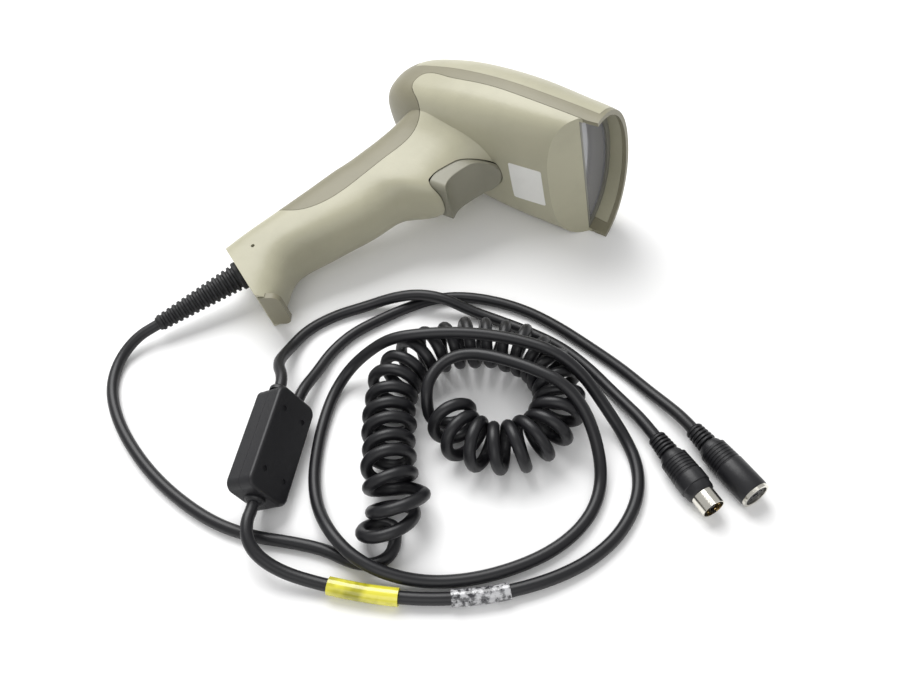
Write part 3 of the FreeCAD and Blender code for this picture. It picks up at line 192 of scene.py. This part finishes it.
PLUG_END = [(26.0, 6.2), (26.3, 5.75), (28.9, 5.6), (29.7, 5.3), (30.0, 4.9)]
SOCKET_END = [(34.6, 6.2), (35.2, 6.0), (35.2, 5.92), (31.0, 5.92)]

# ---------------------------------------------------------------- floor, lamps and camera, m
FLOOR_HALF = 6.0
LAMP_SIZE = 0.9
KEY_PLACE = (-0.55, 0.35, 0.95)
FRONT_PLACE = (0.5, -0.9, 0.8)
FRONT_SHARE = 0.25  # the front lamp's power as a share of the key's
CAMERA_PLACE = mm(195.6, -248.8, 329.5)
CAMERA_RIGHT = Vector((0.8399, 0.5393, -0.0621))
CAMERA_DOWN = Vector((0.3912, -0.6806, -0.6195))
CAMERA_AHEAD = Vector((-0.3763, 0.496, -0.7825))
CAMERA_LENS = 37.39
CAMERA_SENSOR = 36.0
CAMERA_FAR = 20.0


# ---------------------------------------------------------------- sizes and colours a user may change
class CordSizes(bpy.types.PropertyGroup):
    jacket: FloatProperty(name="Cable diameter", description="Diameter of every cord's jacket",
                          default=0.005, unit="LENGTH", subtype="DISTANCE")
    coil_radius: FloatProperty(name="Coil radius", description="Middle of the cable to the curly cord's axis",
                               default=0.00885, unit="LENGTH", subtype="DISTANCE")
    coil_turns: IntProperty(name="Coil turns", description="Whole turns of the curly cord", default=30, min=4)
    points_per_turn: IntProperty(name="Points per turn", description="Spline points in one turn",
                                 default=14, min=12)


class BootSizes(bpy.types.PropertyGroup):
    ribs: IntProperty(name="Ribs", description="Ribs of the strain relief", default=15, min=4)
    base_radius: FloatProperty(name="Base radius", description="Radius of the widest rib",
                               default=0.0062, unit="LENGTH", subtype="DISTANCE")
    tip_radius: FloatProperty(name="Tip radius", description="Radius of the last rib",
                              default=0.0038, unit="LENGTH", subtype="DISTANCE")


class Colours(bpy.types.PropertyGroup):
    beige: FloatVectorProperty(name="Beige casing", description="Top cover and lower casing",
                               subtype="COLOR", size=4, min=0, max=1, default=srgb(166, 163, 141))
    taupe: FloatVectorProperty(name="Taupe casing", description="Rear casing and its bands",
                               subtype="COLOR", size=4, min=0, max=1, default=srgb(126, 122, 102))
    trigger: FloatVectorProperty(name="Trigger", description="Trigger plastic",
                                 subtype="COLOR", size=4, min=0, max=1, default=srgb(128, 126, 111))
    jacket: FloatVectorProperty(name="Cable jacket", description="Black jacket of the cords",
                                subtype="COLOR", size=4, min=0, max=1, default=srgb(22, 22, 25))


class StageSizes(bpy.types.PropertyGroup):
    key: FloatProperty(name="Key light", description="Power of the large soft light", default=16.0, min=0)
    fill: FloatProperty(name="Sky", description="Strength of the surrounding light", default=0.55, min=0)


# ---------------------------------------------------------------- shader building
def group_node(tree, group, **values):
    node = tree.nodes.new("ShaderNodeGroup")
    node.node_tree = group
    for name, value in values.items():
        node.inputs[name.replace("_", " ")].default_value = value
    return node


def new_group(name, inputs, outputs):
    group = bpy.data.node_groups.new(name, "ShaderNodeTree")
    for label, kind, default in inputs:
        socket = group.interface.new_socket(label, in_out="INPUT", socket_type=kind)
        socket.default_value = default
    for label, kind in outputs:
        group.interface.new_socket(label, in_out="OUTPUT", socket_type=kind)
    return group, group.nodes.new("NodeGroupInput"), group.nodes.new("NodeGroupOutput")


def noise(tree, coords, scale, detail=2.0, rough=0.5):
    node = tree.nodes.new("ShaderNodeTexNoise")
    node.inputs["Scale"].default_value = scale
    node.inputs["Detail"].default_value = detail
    node.inputs["Roughness"].default_value = rough
    tree.links.new(coords, node.inputs["Vector"])
    return node


def build_grain_group():
    """Fine moulded grain and slow unevenness: a height, a speckle mask and a soiling mask."""
    group, entry, leave = new_group(
        "moulded grain",
        [("Grain", "NodeSocketFloat", 900.0), ("Fine Speckle", "NodeSocketFloat", 2200.0)],
        [("Height", "NodeSocketFloat"), ("Speckle", "NodeSocketFloat"), ("Soil", "NodeSocketFloat")])
    coords = group.nodes.new("ShaderNodeTexCoord").outputs["Object"]
    grain = noise(group, coords, 900.0, 3.0, 0.6)
    group.links.new(entry.outputs["Grain"], grain.inputs["Scale"])
    speckle = noise(group, coords, 2200.0, 1.0)
    group.links.new(entry.outputs["Fine Speckle"], speckle.inputs["Scale"])
    soil = noise(group, coords, 38.0, 5.0, 0.62)
    ramp = group.nodes.new("ShaderNodeMapRange")
    ramp.inputs["From Min"].default_value = 0.42
    ramp.inputs["From Max"].default_value = 0.72
    group.links.new(soil.outputs["Fac"], ramp.inputs["Value"])
    group.links.new(grain.outputs["Fac"], leave.inputs["Height"])
    group.links.new(speckle.outputs["Fac"], leave.inputs["Speckle"])
    group.links.new(ramp.outputs["Result"], leave.inputs["Soil"])
    return group


def principled(name):
    material = bpy.data.materials.new(name)
    material.use_nodes = True
    tree = material.node_tree
    shader = tree.nodes["Principled BSDF"]
    return material, tree, shader


# the Mix node has a socket of each name for every data type; these are the colour ones
MIX_FACTOR, MIX_FIRST, MIX_SECOND, MIX_RESULT = 0, 6, 7, 2


def mix_colour(tree, factor, first, second):
    node = tree.nodes.new("ShaderNodeMix")
    node.data_type = "RGBA"
    node.inputs[MIX_FIRST].default_value = first
    node.inputs[MIX_SECOND].default_value = second
    tree.links.new(factor, node.inputs[MIX_FACTOR])
    return node.outputs[MIX_RESULT]


def map_value(tree, value, low, high):
    node = tree.nodes.new("ShaderNodeMapRange")
    node.inputs["To Min"].default_value = low
    node.inputs["To Max"].default_value = high
    tree.links.new(value, node.inputs["Value"])
    return node.outputs["Result"]


def darker(colour, share):
    return tuple(c * share for c in colour[:3]) + (1.0,)


def moulded_plastic(name, colour, roughness, depth, grain=900.0, soil=0.9):
    """Plastic with a fine moulded grain, faint speckle and slightly handled patches."""
    material, tree, shader = principled(name)
    texture = group_node(tree, GRAIN_GROUP, Grain=grain)
    handled = mix_colour(tree, texture.outputs["Soil"], tuple(colour), darker(colour, soil))
    tree.links.new(handled, shader.inputs["Base Color"])
    tree.links.new(map_value(tree, texture.outputs["Speckle"], roughness - 0.05, roughness + 0.05),
                   shader.inputs["Roughness"])
    bump = tree.nodes.new("ShaderNodeBump")
    bump.inputs["Strength"].default_value = depth
    bump.inputs["Distance"].default_value = 0.0002
    tree.links.new(texture.outputs["Height"], bump.inputs["Height"])
    tree.links.new(bump.outputs["Normal"], shader.inputs["Normal"])
    shader.inputs["Specular IOR Level"].default_value = 0.4
    material.diffuse_color = tuple(colour)
    return material


def bare_metal(name, colour, roughness):
    """Metal with uneven polish and faint dull patches."""
    material, tree, shader = principled(name)
    texture = group_node(tree, GRAIN_GROUP, Grain=2600.0)
    shader.inputs["Metallic"].default_value = 1.0
    tint = mix_colour(tree, texture.outputs["Soil"], tuple(colour), darker(colour, 0.86))
    tree.links.new(tint, shader.inputs["Base Color"])
    tree.links.new(map_value(tree, texture.outputs["Height"], roughness, roughness + 0.12),
                   shader.inputs["Roughness"])
    material.diffuse_color = tuple(colour)
    return material


def clear_plastic(name, colour, roughness, transmission):
    """Tinted or clear plastic that lets light through."""
    material, tree, shader = principled(name)
    texture = group_node(tree, GRAIN_GROUP, Grain=300.0)
    tree.links.new(mix_colour(tree, texture.outputs["Soil"], tuple(colour), darker(colour, 0.94)),
                   shader.inputs["Base Color"])
    tree.links.new(map_value(tree, texture.outputs["Soil"], roughness, roughness + 0.06),
                   shader.inputs["Roughness"])
    shader.inputs["Transmission Weight"].default_value = transmission
    material.diffuse_color = tuple(colour)
    return material


def wrapped_film(name, deep, bright, scale):
    """Glossy film round the cable: painted sheen, light streaks that stand in for glints over a darker
    ground, creased here and there.
    """
    material, tree, shader = principled(name)
    texture = group_node(tree, GRAIN_GROUP, Grain=scale, Fine_Speckle=scale * 2.2)
    # painted sheen: noise streaks mix the light colour, a painted highlight, into the darker ground
    painted_sheen = tree.nodes.new("ShaderNodeMapRange")
    painted_sheen.inputs["From Min"].default_value = 0.44
    painted_sheen.inputs["From Max"].default_value = 0.58
    tree.links.new(texture.outputs["Height"], painted_sheen.inputs["Value"])
    tree.links.new(mix_colour(tree, painted_sheen.outputs["Result"], deep, bright), shader.inputs["Base Color"])
    tree.links.new(map_value(tree, texture.outputs["Speckle"], 0.12, 0.32), shader.inputs["Roughness"])
    shader.inputs["Coat Weight"].default_value = 0.6
    shader.inputs["Coat Roughness"].default_value = 0.08
    bump = tree.nodes.new("ShaderNodeBump")
    bump.inputs["Strength"].default_value = 0.35
    bump.inputs["Distance"].default_value = 0.0003
    tree.links.new(texture.outputs["Speckle"], bump.inputs["Height"])
    tree.links.new(bump.outputs["Normal"], shader.inputs["Normal"])
    material.diffuse_color = bright
    return material


GRAIN_GROUP = build_grain_group()
MATERIALS = {}


def build_materials(colours):
    MATERIALS["beige"] = moulded_plastic("beige casing", colours.beige, roughness=0.4, depth=0.22)
    MATERIALS["taupe"] = moulded_plastic("taupe casing", colours.taupe, roughness=0.46, depth=0.22)
    MATERIALS["trigger"] = moulded_plastic("trigger plastic", colours.trigger, roughness=0.42, depth=0.2)
    MATERIALS["black"] = moulded_plastic("black moulding", srgb(24, 24, 27), roughness=0.42, depth=0.3,
                                         grain=1400.0)
    MATERIALS["jacket"] = moulded_plastic("cable jacket", colours.jacket, roughness=0.4, depth=0.15,
                                          grain=1200.0)
    MATERIALS["boot"] = moulded_plastic("strain relief", srgb(20, 20, 22), roughness=0.5, depth=0.3,
                                        grain=1200.0)
    MATERIALS["gasket"] = moulded_plastic("window lining", srgb(120, 119, 110), roughness=0.5, depth=0.2)
    MATERIALS["filter"] = clear_plastic("tinted filter", srgb(168, 168, 172), roughness=0.06,
                                        transmission=0.55)
    MATERIALS["clear"] = clear_plastic("clear moulding", srgb(225, 228, 230), roughness=0.08,
                                       transmission=0.9)
    MATERIALS["label"] = moulded_plastic("blank label", srgb(226, 226, 222), roughness=0.55, depth=0.05)
    MATERIALS["board"] = moulded_plastic("circuit board", srgb(30, 92, 55), roughness=0.35, depth=0.1,
                                         grain=2600.0)
    MATERIALS["steel"] = bare_metal("bright steel", srgb(205, 204, 200), roughness=0.22)
    MATERIALS["chrome"] = bare_metal("plated shell", srgb(225, 222, 212), roughness=0.12)
    MATERIALS["contact"] = bare_metal("contacts", srgb(214, 180, 110), roughness=0.2)
    MATERIALS["cast"] = bare_metal("cast frame", srgb(120, 120, 122), roughness=0.4)
    # painted sheen: each sleeve's bright colour is a painted highlight streaked over its darker ground
    MATERIALS["yellow"] = wrapped_film("yellow sleeve", deep=srgb(150, 146, 20), bright=srgb(216, 208, 62),
                                       scale=55.0)
    MATERIALS["silver"] = wrapped_film("silver sleeve", deep=srgb(46, 46, 50), bright=srgb(176, 176, 178),
                                       scale=420.0)


def dress(obj, material):
    obj.data.materials.clear()
    obj.data.materials.append(MATERIALS[material])


# ---------------------------------------------------------------- mesh helpers
MERGE_CAD = 0.000004  # distance in m under which a CAD node's points are one
MERGE_SPUN = 0.000002  # the same for a solid of revolution


def new_piece(name, bm, material, body, smooth_angle=35.0):
    """Finished object from a bmesh: shaded smooth except over edges sharper than the angle."""
    for face in bm.faces:
        face.smooth = True
    limit = math.radians(smooth_angle)
    for edge in bm.edges:
        edge.smooth = len(edge.link_faces) == 2 and edge.calc_face_angle(0.0) < limit
    mesh = bpy.data.meshes.new(name)
    bm.to_mesh(mesh)
    bm.free()
    obj = bpy.data.objects.new(name, mesh)
    bpy.context.scene.collection.objects.link(obj)
    dress(obj, material)
    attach(obj, body)
    return obj


def copy_of(node, material, smooth_angle=32.0):
    """Merged copy of a CAD node, so its curved faces shade smoothly; it stands for the node."""
    source = cad_nodes[node]
    bm = bmesh.new()
    bm.from_mesh(source.data)
    bmesh.ops.remove_doubles(bm, verts=bm.verts, dist=MERGE_CAD)
    for name in [key for key in bm.loops.layers.float_vector.keys() if "normal" in key]:
        bm.loops.layers.float_vector.remove(bm.loops.layers.float_vector[name])
    obj = new_piece(node + "_skin", bm, material, source["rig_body"], smooth_angle)
    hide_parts(node)
    return obj


def spun(profile, steps=40):
    """Closed solid of revolution about X from (x, radius) pairs that start and end on the axis."""
    bm = bmesh.new()
    verts = [bm.verts.new((x * MM, 0, r * MM)) for x, r in profile]
    edges = [bm.edges.new(pair) for pair in zip(verts, verts[1:])]
    bmesh.ops.spin(bm, geom=verts + edges, cent=(0, 0, 0), axis=(1, 0, 0), angle=2 * math.pi,
                   steps=steps, use_merge=True, use_duplicate=False)
    bmesh.ops.remove_doubles(bm, verts=bm.verts, dist=MERGE_SPUN)
    bmesh.ops.recalc_face_normals(bm, faces=bm.faces)
    return bm


def placed(bm, matrix):
    bmesh.ops.transform(bm, matrix=matrix, verts=bm.verts)
    return bm


def nurbs_curve(name, points):
    data = bpy.data.curves.new(name, "CURVE")
    data.dimensions = "3D"
    spline = data.splines.new("NURBS")
    spline.points.add(len(points) - 1)
    for slot, point in zip(spline.points, points):
        slot.co = (point.x, point.y, point.z, 1.0)
    spline.order_u = 3
    spline.use_endpoint_u = True
    spline.resolution_u = 6
    return bpy.data.objects.new(name, data)


def points_along(points, spacing):
    """Evenly spaced points read from the NURBS line through a route's control points."""
    guide = nurbs_curve("guide", points)
    guide.data.resolution_u = 12
    bpy.context.scene.collection.objects.link(guide)
    bpy.context.view_layer.update()
    mesh = bpy.data.meshes.new_from_object(guide)
    line = [v.co.copy() for v in mesh.vertices]
    bpy.data.objects.remove(guide)
    bpy.data.meshes.remove(mesh)
    total = sum((b - a).length for a, b in zip(line, line[1:]))
    count = max(2, round(total / spacing))
    out = [line[0]]
    step = total / count
    walked = 0.0
    for a, b in zip(line, line[1:]):
        run = (b - a).length
        while run > 0 and len(out) < count and walked + run >= step * len(out):
            out.append(a.lerp(b, (step * len(out) - walked) / run))
        walked += run
    out.append(line[-1])
    return out


def sample(line, share):
    """Point at a share of the way along an evenly spaced line."""
    place = max(0.0, min(1.0, share)) * (len(line) - 1)
    first = min(int(place), len(line) - 2)
    return line[first].lerp(line[first + 1], place - first)


def coil_points(sizes):
    """The curly cord: two loose tilted rings, then even turns about the coil's middle line."""
    ring_axis = points_along(RING_LINE, AXIS_SPACING)
    coil_axis = points_along(COIL_LINE, AXIS_SPACING)
    ring_share = RING_TURNS / sizes.coil_turns
    start_phase = math.radians(COIL_START)
    end_phase = math.radians(COIL_END)
    total = 2 * math.pi * (sizes.coil_turns - 1) + end_phase - start_phase
    count = int(total / (2 * math.pi) * sizes.points_per_turn)
    ring_heading = (coil_axis[RINGS_FACE] - coil_axis[0]).normalized()
    points = []
    for i in range(count + 1):
        share = i / count
        if share < ring_share:
            centre = sample(ring_axis, share / ring_share)
            heading = ring_heading
        else:
            at = (share - ring_share) / (1 - ring_share)
            centre = sample(coil_axis, at)
            before = sample(coil_axis, at - HEADING_REACH)
            after = sample(coil_axis, at + HEADING_REACH)
            heading = (after - before).normalized()
        left = Vector((-heading.y, heading.x, 0)).normalized()
        turn = share * total / (2 * math.pi)
        phase = start_phase + total * share
        # the rings lean back, and each is its own size
        lean = math.radians(RING_LEAN) * max(0.0, 1.0 - turn / LEAN_TURNS) ** LEAN_POWER
        loose = max(0.0, 1.0 - abs(turn - LOOSE_TURN) / LOOSE_SPREAD)
        wander = sum(size * math.sin(turn * rate + offset) for size, rate, offset in WANDER)
        radius = (sizes.coil_radius + wander * min(1.0, turn / 2) + LOOSE_EXTRA * loose
                  - FIRST_TIGHTER * max(0.0, 1.0 - turn))
        lifted = UP * math.cos(lean) - heading * math.sin(lean)
        low = max(0.0, sizes.jacket / 2 + FLOOR_GAP - (centre.z - radius * math.cos(lean)))
        points.append(centre + UP * low + left * radius * math.cos(phase) + lifted * radius * math.sin(phase))
    return points


def cord_object(name, points, diameter, material):
    """Round cable along one NURBS line."""
    obj = nurbs_curve(name, points)
    obj.data.bevel_depth = diameter / 2
    obj.data.bevel_resolution = 4
    obj.data.use_fill_caps = True
    bpy.context.scene.collection.objects.link(obj)
    obj.data.materials.append(MATERIALS[material])
    return obj


def boot_profile(sizes):
    """Flange, tapering ribs and end of the strain relief."""
    base = sizes.base_radius / MM
    tip = sizes.tip_radius / MM
    pitch = (RIBS_TO - RIBS_FROM) / sizes.ribs
    profile = list(BOOT_FLANGE)
    for i in range(sizes.ribs):
        t = i / (sizes.ribs - 1)
        rib = base + (tip - base) * t
        groove = rib - RIB_DEPTH + RIB_FADE * t
        x = RIBS_FROM + i * pitch
        profile += [(x + RIB_FLOOR[0], groove), (x + pitch * RIB_FLOOR[1], groove)]
        profile += [(x + pitch * share, rib - drop) for share, drop in RIB_CREST]
    return profile + BOOT_END


def grip_profile(end):
    """Ribbed neck, ringed grip and the given end of a round connector's moulding."""
    profile = list(GRIP_BACK)
    for i in range(NECK_RIBS):
        x = NECK_FROM + i * NECK_PITCH
        crest = NECK_CREST + NECK_GROWTH * i
        profile += [(x, NECK_FLOOR), (x + 0.12, crest - NECK_EDGE), (x + 0.3, crest), (x + 0.85, crest),
                    (x + 1.05, crest - NECK_EDGE), (x + 1.15, NECK_FLOOR)]
    profile += GRIP_SHOULDER
    for i in range(GRIP_RINGS):
        x = RINGS_FROM + i * RINGS_PITCH
        crest = RINGS_CREST + RINGS_GROWTH * i
        profile += [(x, crest), (x + 0.75, crest), (x + 0.9, crest - RINGS_DEPTH),
                    (x + 1.25, crest - RINGS_DEPTH)]
    return profile + GRIP_FRONT + end + [(end[-1][0], 0.0)]


# ---------------------------------------------------------------- operators
class SCANNER_OT_stage(bpy.types.Operator):
    """Floor, soft studio light and the camera"""
    bl_idname = "scanner.stage"
    bl_label = "Stage"

    def execute(self, context):
        sizes = context.scene.scanner_stage
        scene = context.scene
        bm = bmesh.new()
        bmesh.ops.create_grid(bm, x_segments=1, y_segments=1, size=FLOOR_HALF)
        mesh = bpy.data.meshes.new("floor")
        bm.to_mesh(mesh)
        bm.free()
        floor = bpy.data.objects.new("floor", mesh)
        scene.collection.objects.link(floor)
        material, tree, shader = principled("white table")
        shader.inputs["Base Color"].default_value = (0.93, 0.93, 0.93, 1)
        shader.inputs["Roughness"].default_value = 0.7
        shader.inputs["Specular IOR Level"].default_value = 0.2
        mesh.materials.append(material)
        world = bpy.data.worlds.new("studio")
        world.use_nodes = True
        sky = world.node_tree.nodes["Background"]
        sky.inputs["Color"].default_value = (1, 1, 1, 1)
        sky.inputs["Strength"].default_value = sizes.fill
        scene.world = world
        for name, place, power in (("key", KEY_PLACE, sizes.key),
                                   ("front", FRONT_PLACE, sizes.key * FRONT_SHARE)):
            light = bpy.data.lights.new(name, "AREA")
            light.size = LAMP_SIZE
            light.energy = power
            lamp = bpy.data.objects.new(name, light)
            lamp.location = place
            lamp.rotation_euler = (-Vector(place)).to_track_quat("-Z", "Y").to_euler()
            scene.collection.objects.link(lamp)
        scene.view_settings.view_transform = "Standard"
        data = bpy.data.cameras.new("camera")
        data.sensor_width = CAMERA_SENSOR
        data.lens = CAMERA_LENS
        data.clip_end = CAMERA_FAR
        camera = bpy.data.objects.new("camera", data)
        turn = Matrix((CAMERA_RIGHT, -CAMERA_DOWN, -CAMERA_AHEAD)).transposed()
        camera.matrix_world = Matrix.Translation(CAMERA_PLACE) @ turn.to_4x4()
        scene.collection.objects.link(camera)
        scene.camera = camera
        return {"FINISHED"}


class SCANNER_OT_cords(bpy.types.Operator):
    """Scanner cord with its curly stretch, and the two tails"""
    bl_idname = "scanner.cords"
    bl_label = "Cords"

    def execute(self, context):
        sizes = context.scene.scanner_cords
        route = HANDLE_LEAD + coil_points(sizes) + LOOP_LEAD
        cord = cord_object("scanner_cord", route, sizes.jacket, "jacket")
        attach(cord, "root")
        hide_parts("handle_lead", "curly_cord", "loop_lead")
        plug_cord = cord_object("plug_cord", PLUG_LEAD, sizes.jacket, "jacket")
        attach(plug_cord, "root")
        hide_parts("plug_lead")
        socket_cord = cord_object("socket_cord", SOCKET_LEAD, sizes.jacket, "jacket")
        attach(socket_cord, "root")
        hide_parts("socket_lead")
        return {"FINISHED"}


class SCANNER_OT_strain_relief(bpy.types.Operator):
    """Ribbed strain relief in the end of the handle"""
    bl_idname = "scanner.strain_relief"
    bl_label = "Strain relief"

    def execute(self, context):
        profile = boot_profile(context.scene.scanner_boot)
        boot = new_piece("strain_relief", placed(spun(profile), BOOT_FRAME), "boot", "root", 28.0)
        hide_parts("cable_boot")
        return {"FINISHED"}


class SCANNER_OT_splitter(bpy.types.Operator):
    """Cord splitter, its cable collars and the two sleeves on the cable"""
    bl_idname = "scanner.splitter"
    bl_label = "Splitter"

    def execute(self, context):
        copy_of("splitter_top_shell", "black")
        copy_of("splitter_bottom_shell", "black")
        collars = bmesh.new()
        for x, y, turn in COLLAR_PLACES:
            ring = spun(COLLAR, 28)
            place = SPLITTER_FRAME @ Matrix.Translation(mm(x, y, 0)) @ Matrix.Rotation(turn, 4, "Z")
            placed(ring, place)
            mesh = bpy.data.meshes.new("collar")
            ring.to_mesh(mesh)
            ring.free()
            collars.from_mesh(mesh)
            bpy.data.meshes.remove(mesh)
        new_piece("splitter_collars", collars, "black", "root")
        copy_of("yellow_sleeve", "yellow", 50.0)
        copy_of("clear_sleeve", "silver", 50.0)
        return {"FINISHED"}


class SCANNER_OT_connectors(bpy.types.Operator):
    """Round plug and round socket on the two tails"""
    bl_idname = "scanner.connectors"
    bl_label = "Connectors"

    def execute(self, context):
        for key, node, place, end in (("plug", "plug_grip", PLUG_FRAME, PLUG_END),
                                      ("socket", "socket_grip", SOCKET_FRAME, SOCKET_END)):
            grip = new_piece(key + "_grip_moulding", placed(spun(grip_profile(end), 48), place), "black",
                             "root", 30.0)
            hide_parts(node)
        copy_of("plug_shell", "chrome", 40.0)
        copy_of("socket_shell", "chrome", 40.0)
        copy_of("plug_insert", "black", 40.0)
        copy_of("socket_insert", "black", 40.0)
        copy_of("plug_pins", "contact", 50.0)
        return {"FINISHED"}


class SCANNER_OT_casing(bpy.types.Operator):
    """Casings, foot plate, blank label and status lens"""
    bl_idname = "scanner.casing"
    bl_label = "Casing"

    def execute(self, context):
        for node, material in (("upper_housing", "taupe"), ("top_cover", "beige"), ("lower_housing", "beige"),
                               ("foot_cap", "taupe"), ("product_label", "label"), ("status_lens", "clear")):
            copy_of(node, material, 30.0)
        return {"FINISHED"}


class SCANNER_OT_front(bpy.types.Operator):
    """Window, its lining, the trigger and what works it"""
    bl_idname = "scanner.front"
    bl_label = "Window and trigger"

    def execute(self, context):
        for node, material in (("window_gasket", "gasket"), ("window", "filter"), ("trigger", "trigger"),
                               ("trigger_pivot_pin", "steel"), ("trigger_spring", "steel")):
            copy_of(node, material, 35.0)
        return {"FINISHED"}


class SCANNER_OT_inside(bpy.types.Operator):
    """Boards, imager and jack inside the casing"""
    bl_idname = "scanner.inside"
    bl_label = "Inside"

    def execute(self, context):
        for material, names in (("board", ("main_board", "sensor_board", "illumination_board", "switch_board",
                                           "jack_board", "splitter_board")),
                                ("black", ("inner_frame", "board_chips", "beeper", "switch_body",
                                           "lens_barrel", "cable_jack")),
                                ("cast", ("imager_chassis",)),
                                ("trigger", ("switch_plunger",)),
                                ("clear", ("imager_lens", "led_lenses", "cable_plug", "plug_latch")),
                                ("steel", ("board_screws", "frame_screws", "housing_screws")),
                                ("label", ("ribbon_cable",))):
            for name in names:
                dress(cad_nodes[name], material)
        return {"FINISHED"}


class SCANNER_OT_declare(bpy.types.Operator):
    """Does nothing; no facts about the cords are given"""
    bl_idname = "scanner.declare"
    bl_label = "Cord facts"

    def execute(self, context):
        return {"FINISHED"}


class SCANNER_PT_panel(bpy.types.Panel):
    """The scanner's pieces in the sidebar"""
    bl_label = "Handheld scanner"
    bl_idname = "SCANNER_PT_panel"
    bl_space_type = "VIEW_3D"
    bl_region_type = "UI"
    bl_category = "Scanner"

    def draw(self, context):
        for operator in OPERATORS:
            self.layout.operator(operator.bl_idname)


OPERATORS = (SCANNER_OT_stage, SCANNER_OT_cords, SCANNER_OT_strain_relief, SCANNER_OT_splitter,
             SCANNER_OT_connectors, SCANNER_OT_casing, SCANNER_OT_front, SCANNER_OT_inside,
             SCANNER_OT_declare)
GROUPS = (CordSizes, BootSizes, Colours, StageSizes)
PROPERTIES = (("scanner_cords", CordSizes), ("scanner_boot", BootSizes), ("scanner_colours", Colours),
              ("scanner_stage", StageSizes))


def register():
    for cls in GROUPS + OPERATORS + (SCANNER_PT_panel,):
        bpy.utils.register_class(cls)
    for name, group in PROPERTIES:
        setattr(bpy.types.Scene, name, PointerProperty(type=group))


def unregister():
    for name, group in PROPERTIES:
        delattr(bpy.types.Scene, name)
    for cls in reversed(GROUPS + OPERATORS + (SCANNER_PT_panel,)):
        bpy.utils.unregister_class(cls)


def main():
    register()
    build_materials(bpy.context.scene.scanner_colours)
    bpy.ops.scanner.stage()
    bpy.ops.scanner.cords()
    bpy.ops.scanner.strain_relief()
    bpy.ops.scanner.splitter()
    bpy.ops.scanner.connectors()
    bpy.ops.scanner.casing()
    bpy.ops.scanner.front()
    bpy.ops.scanner.inside()
    bpy.ops.scanner.declare()


if __name__ == "__main__":
    main()
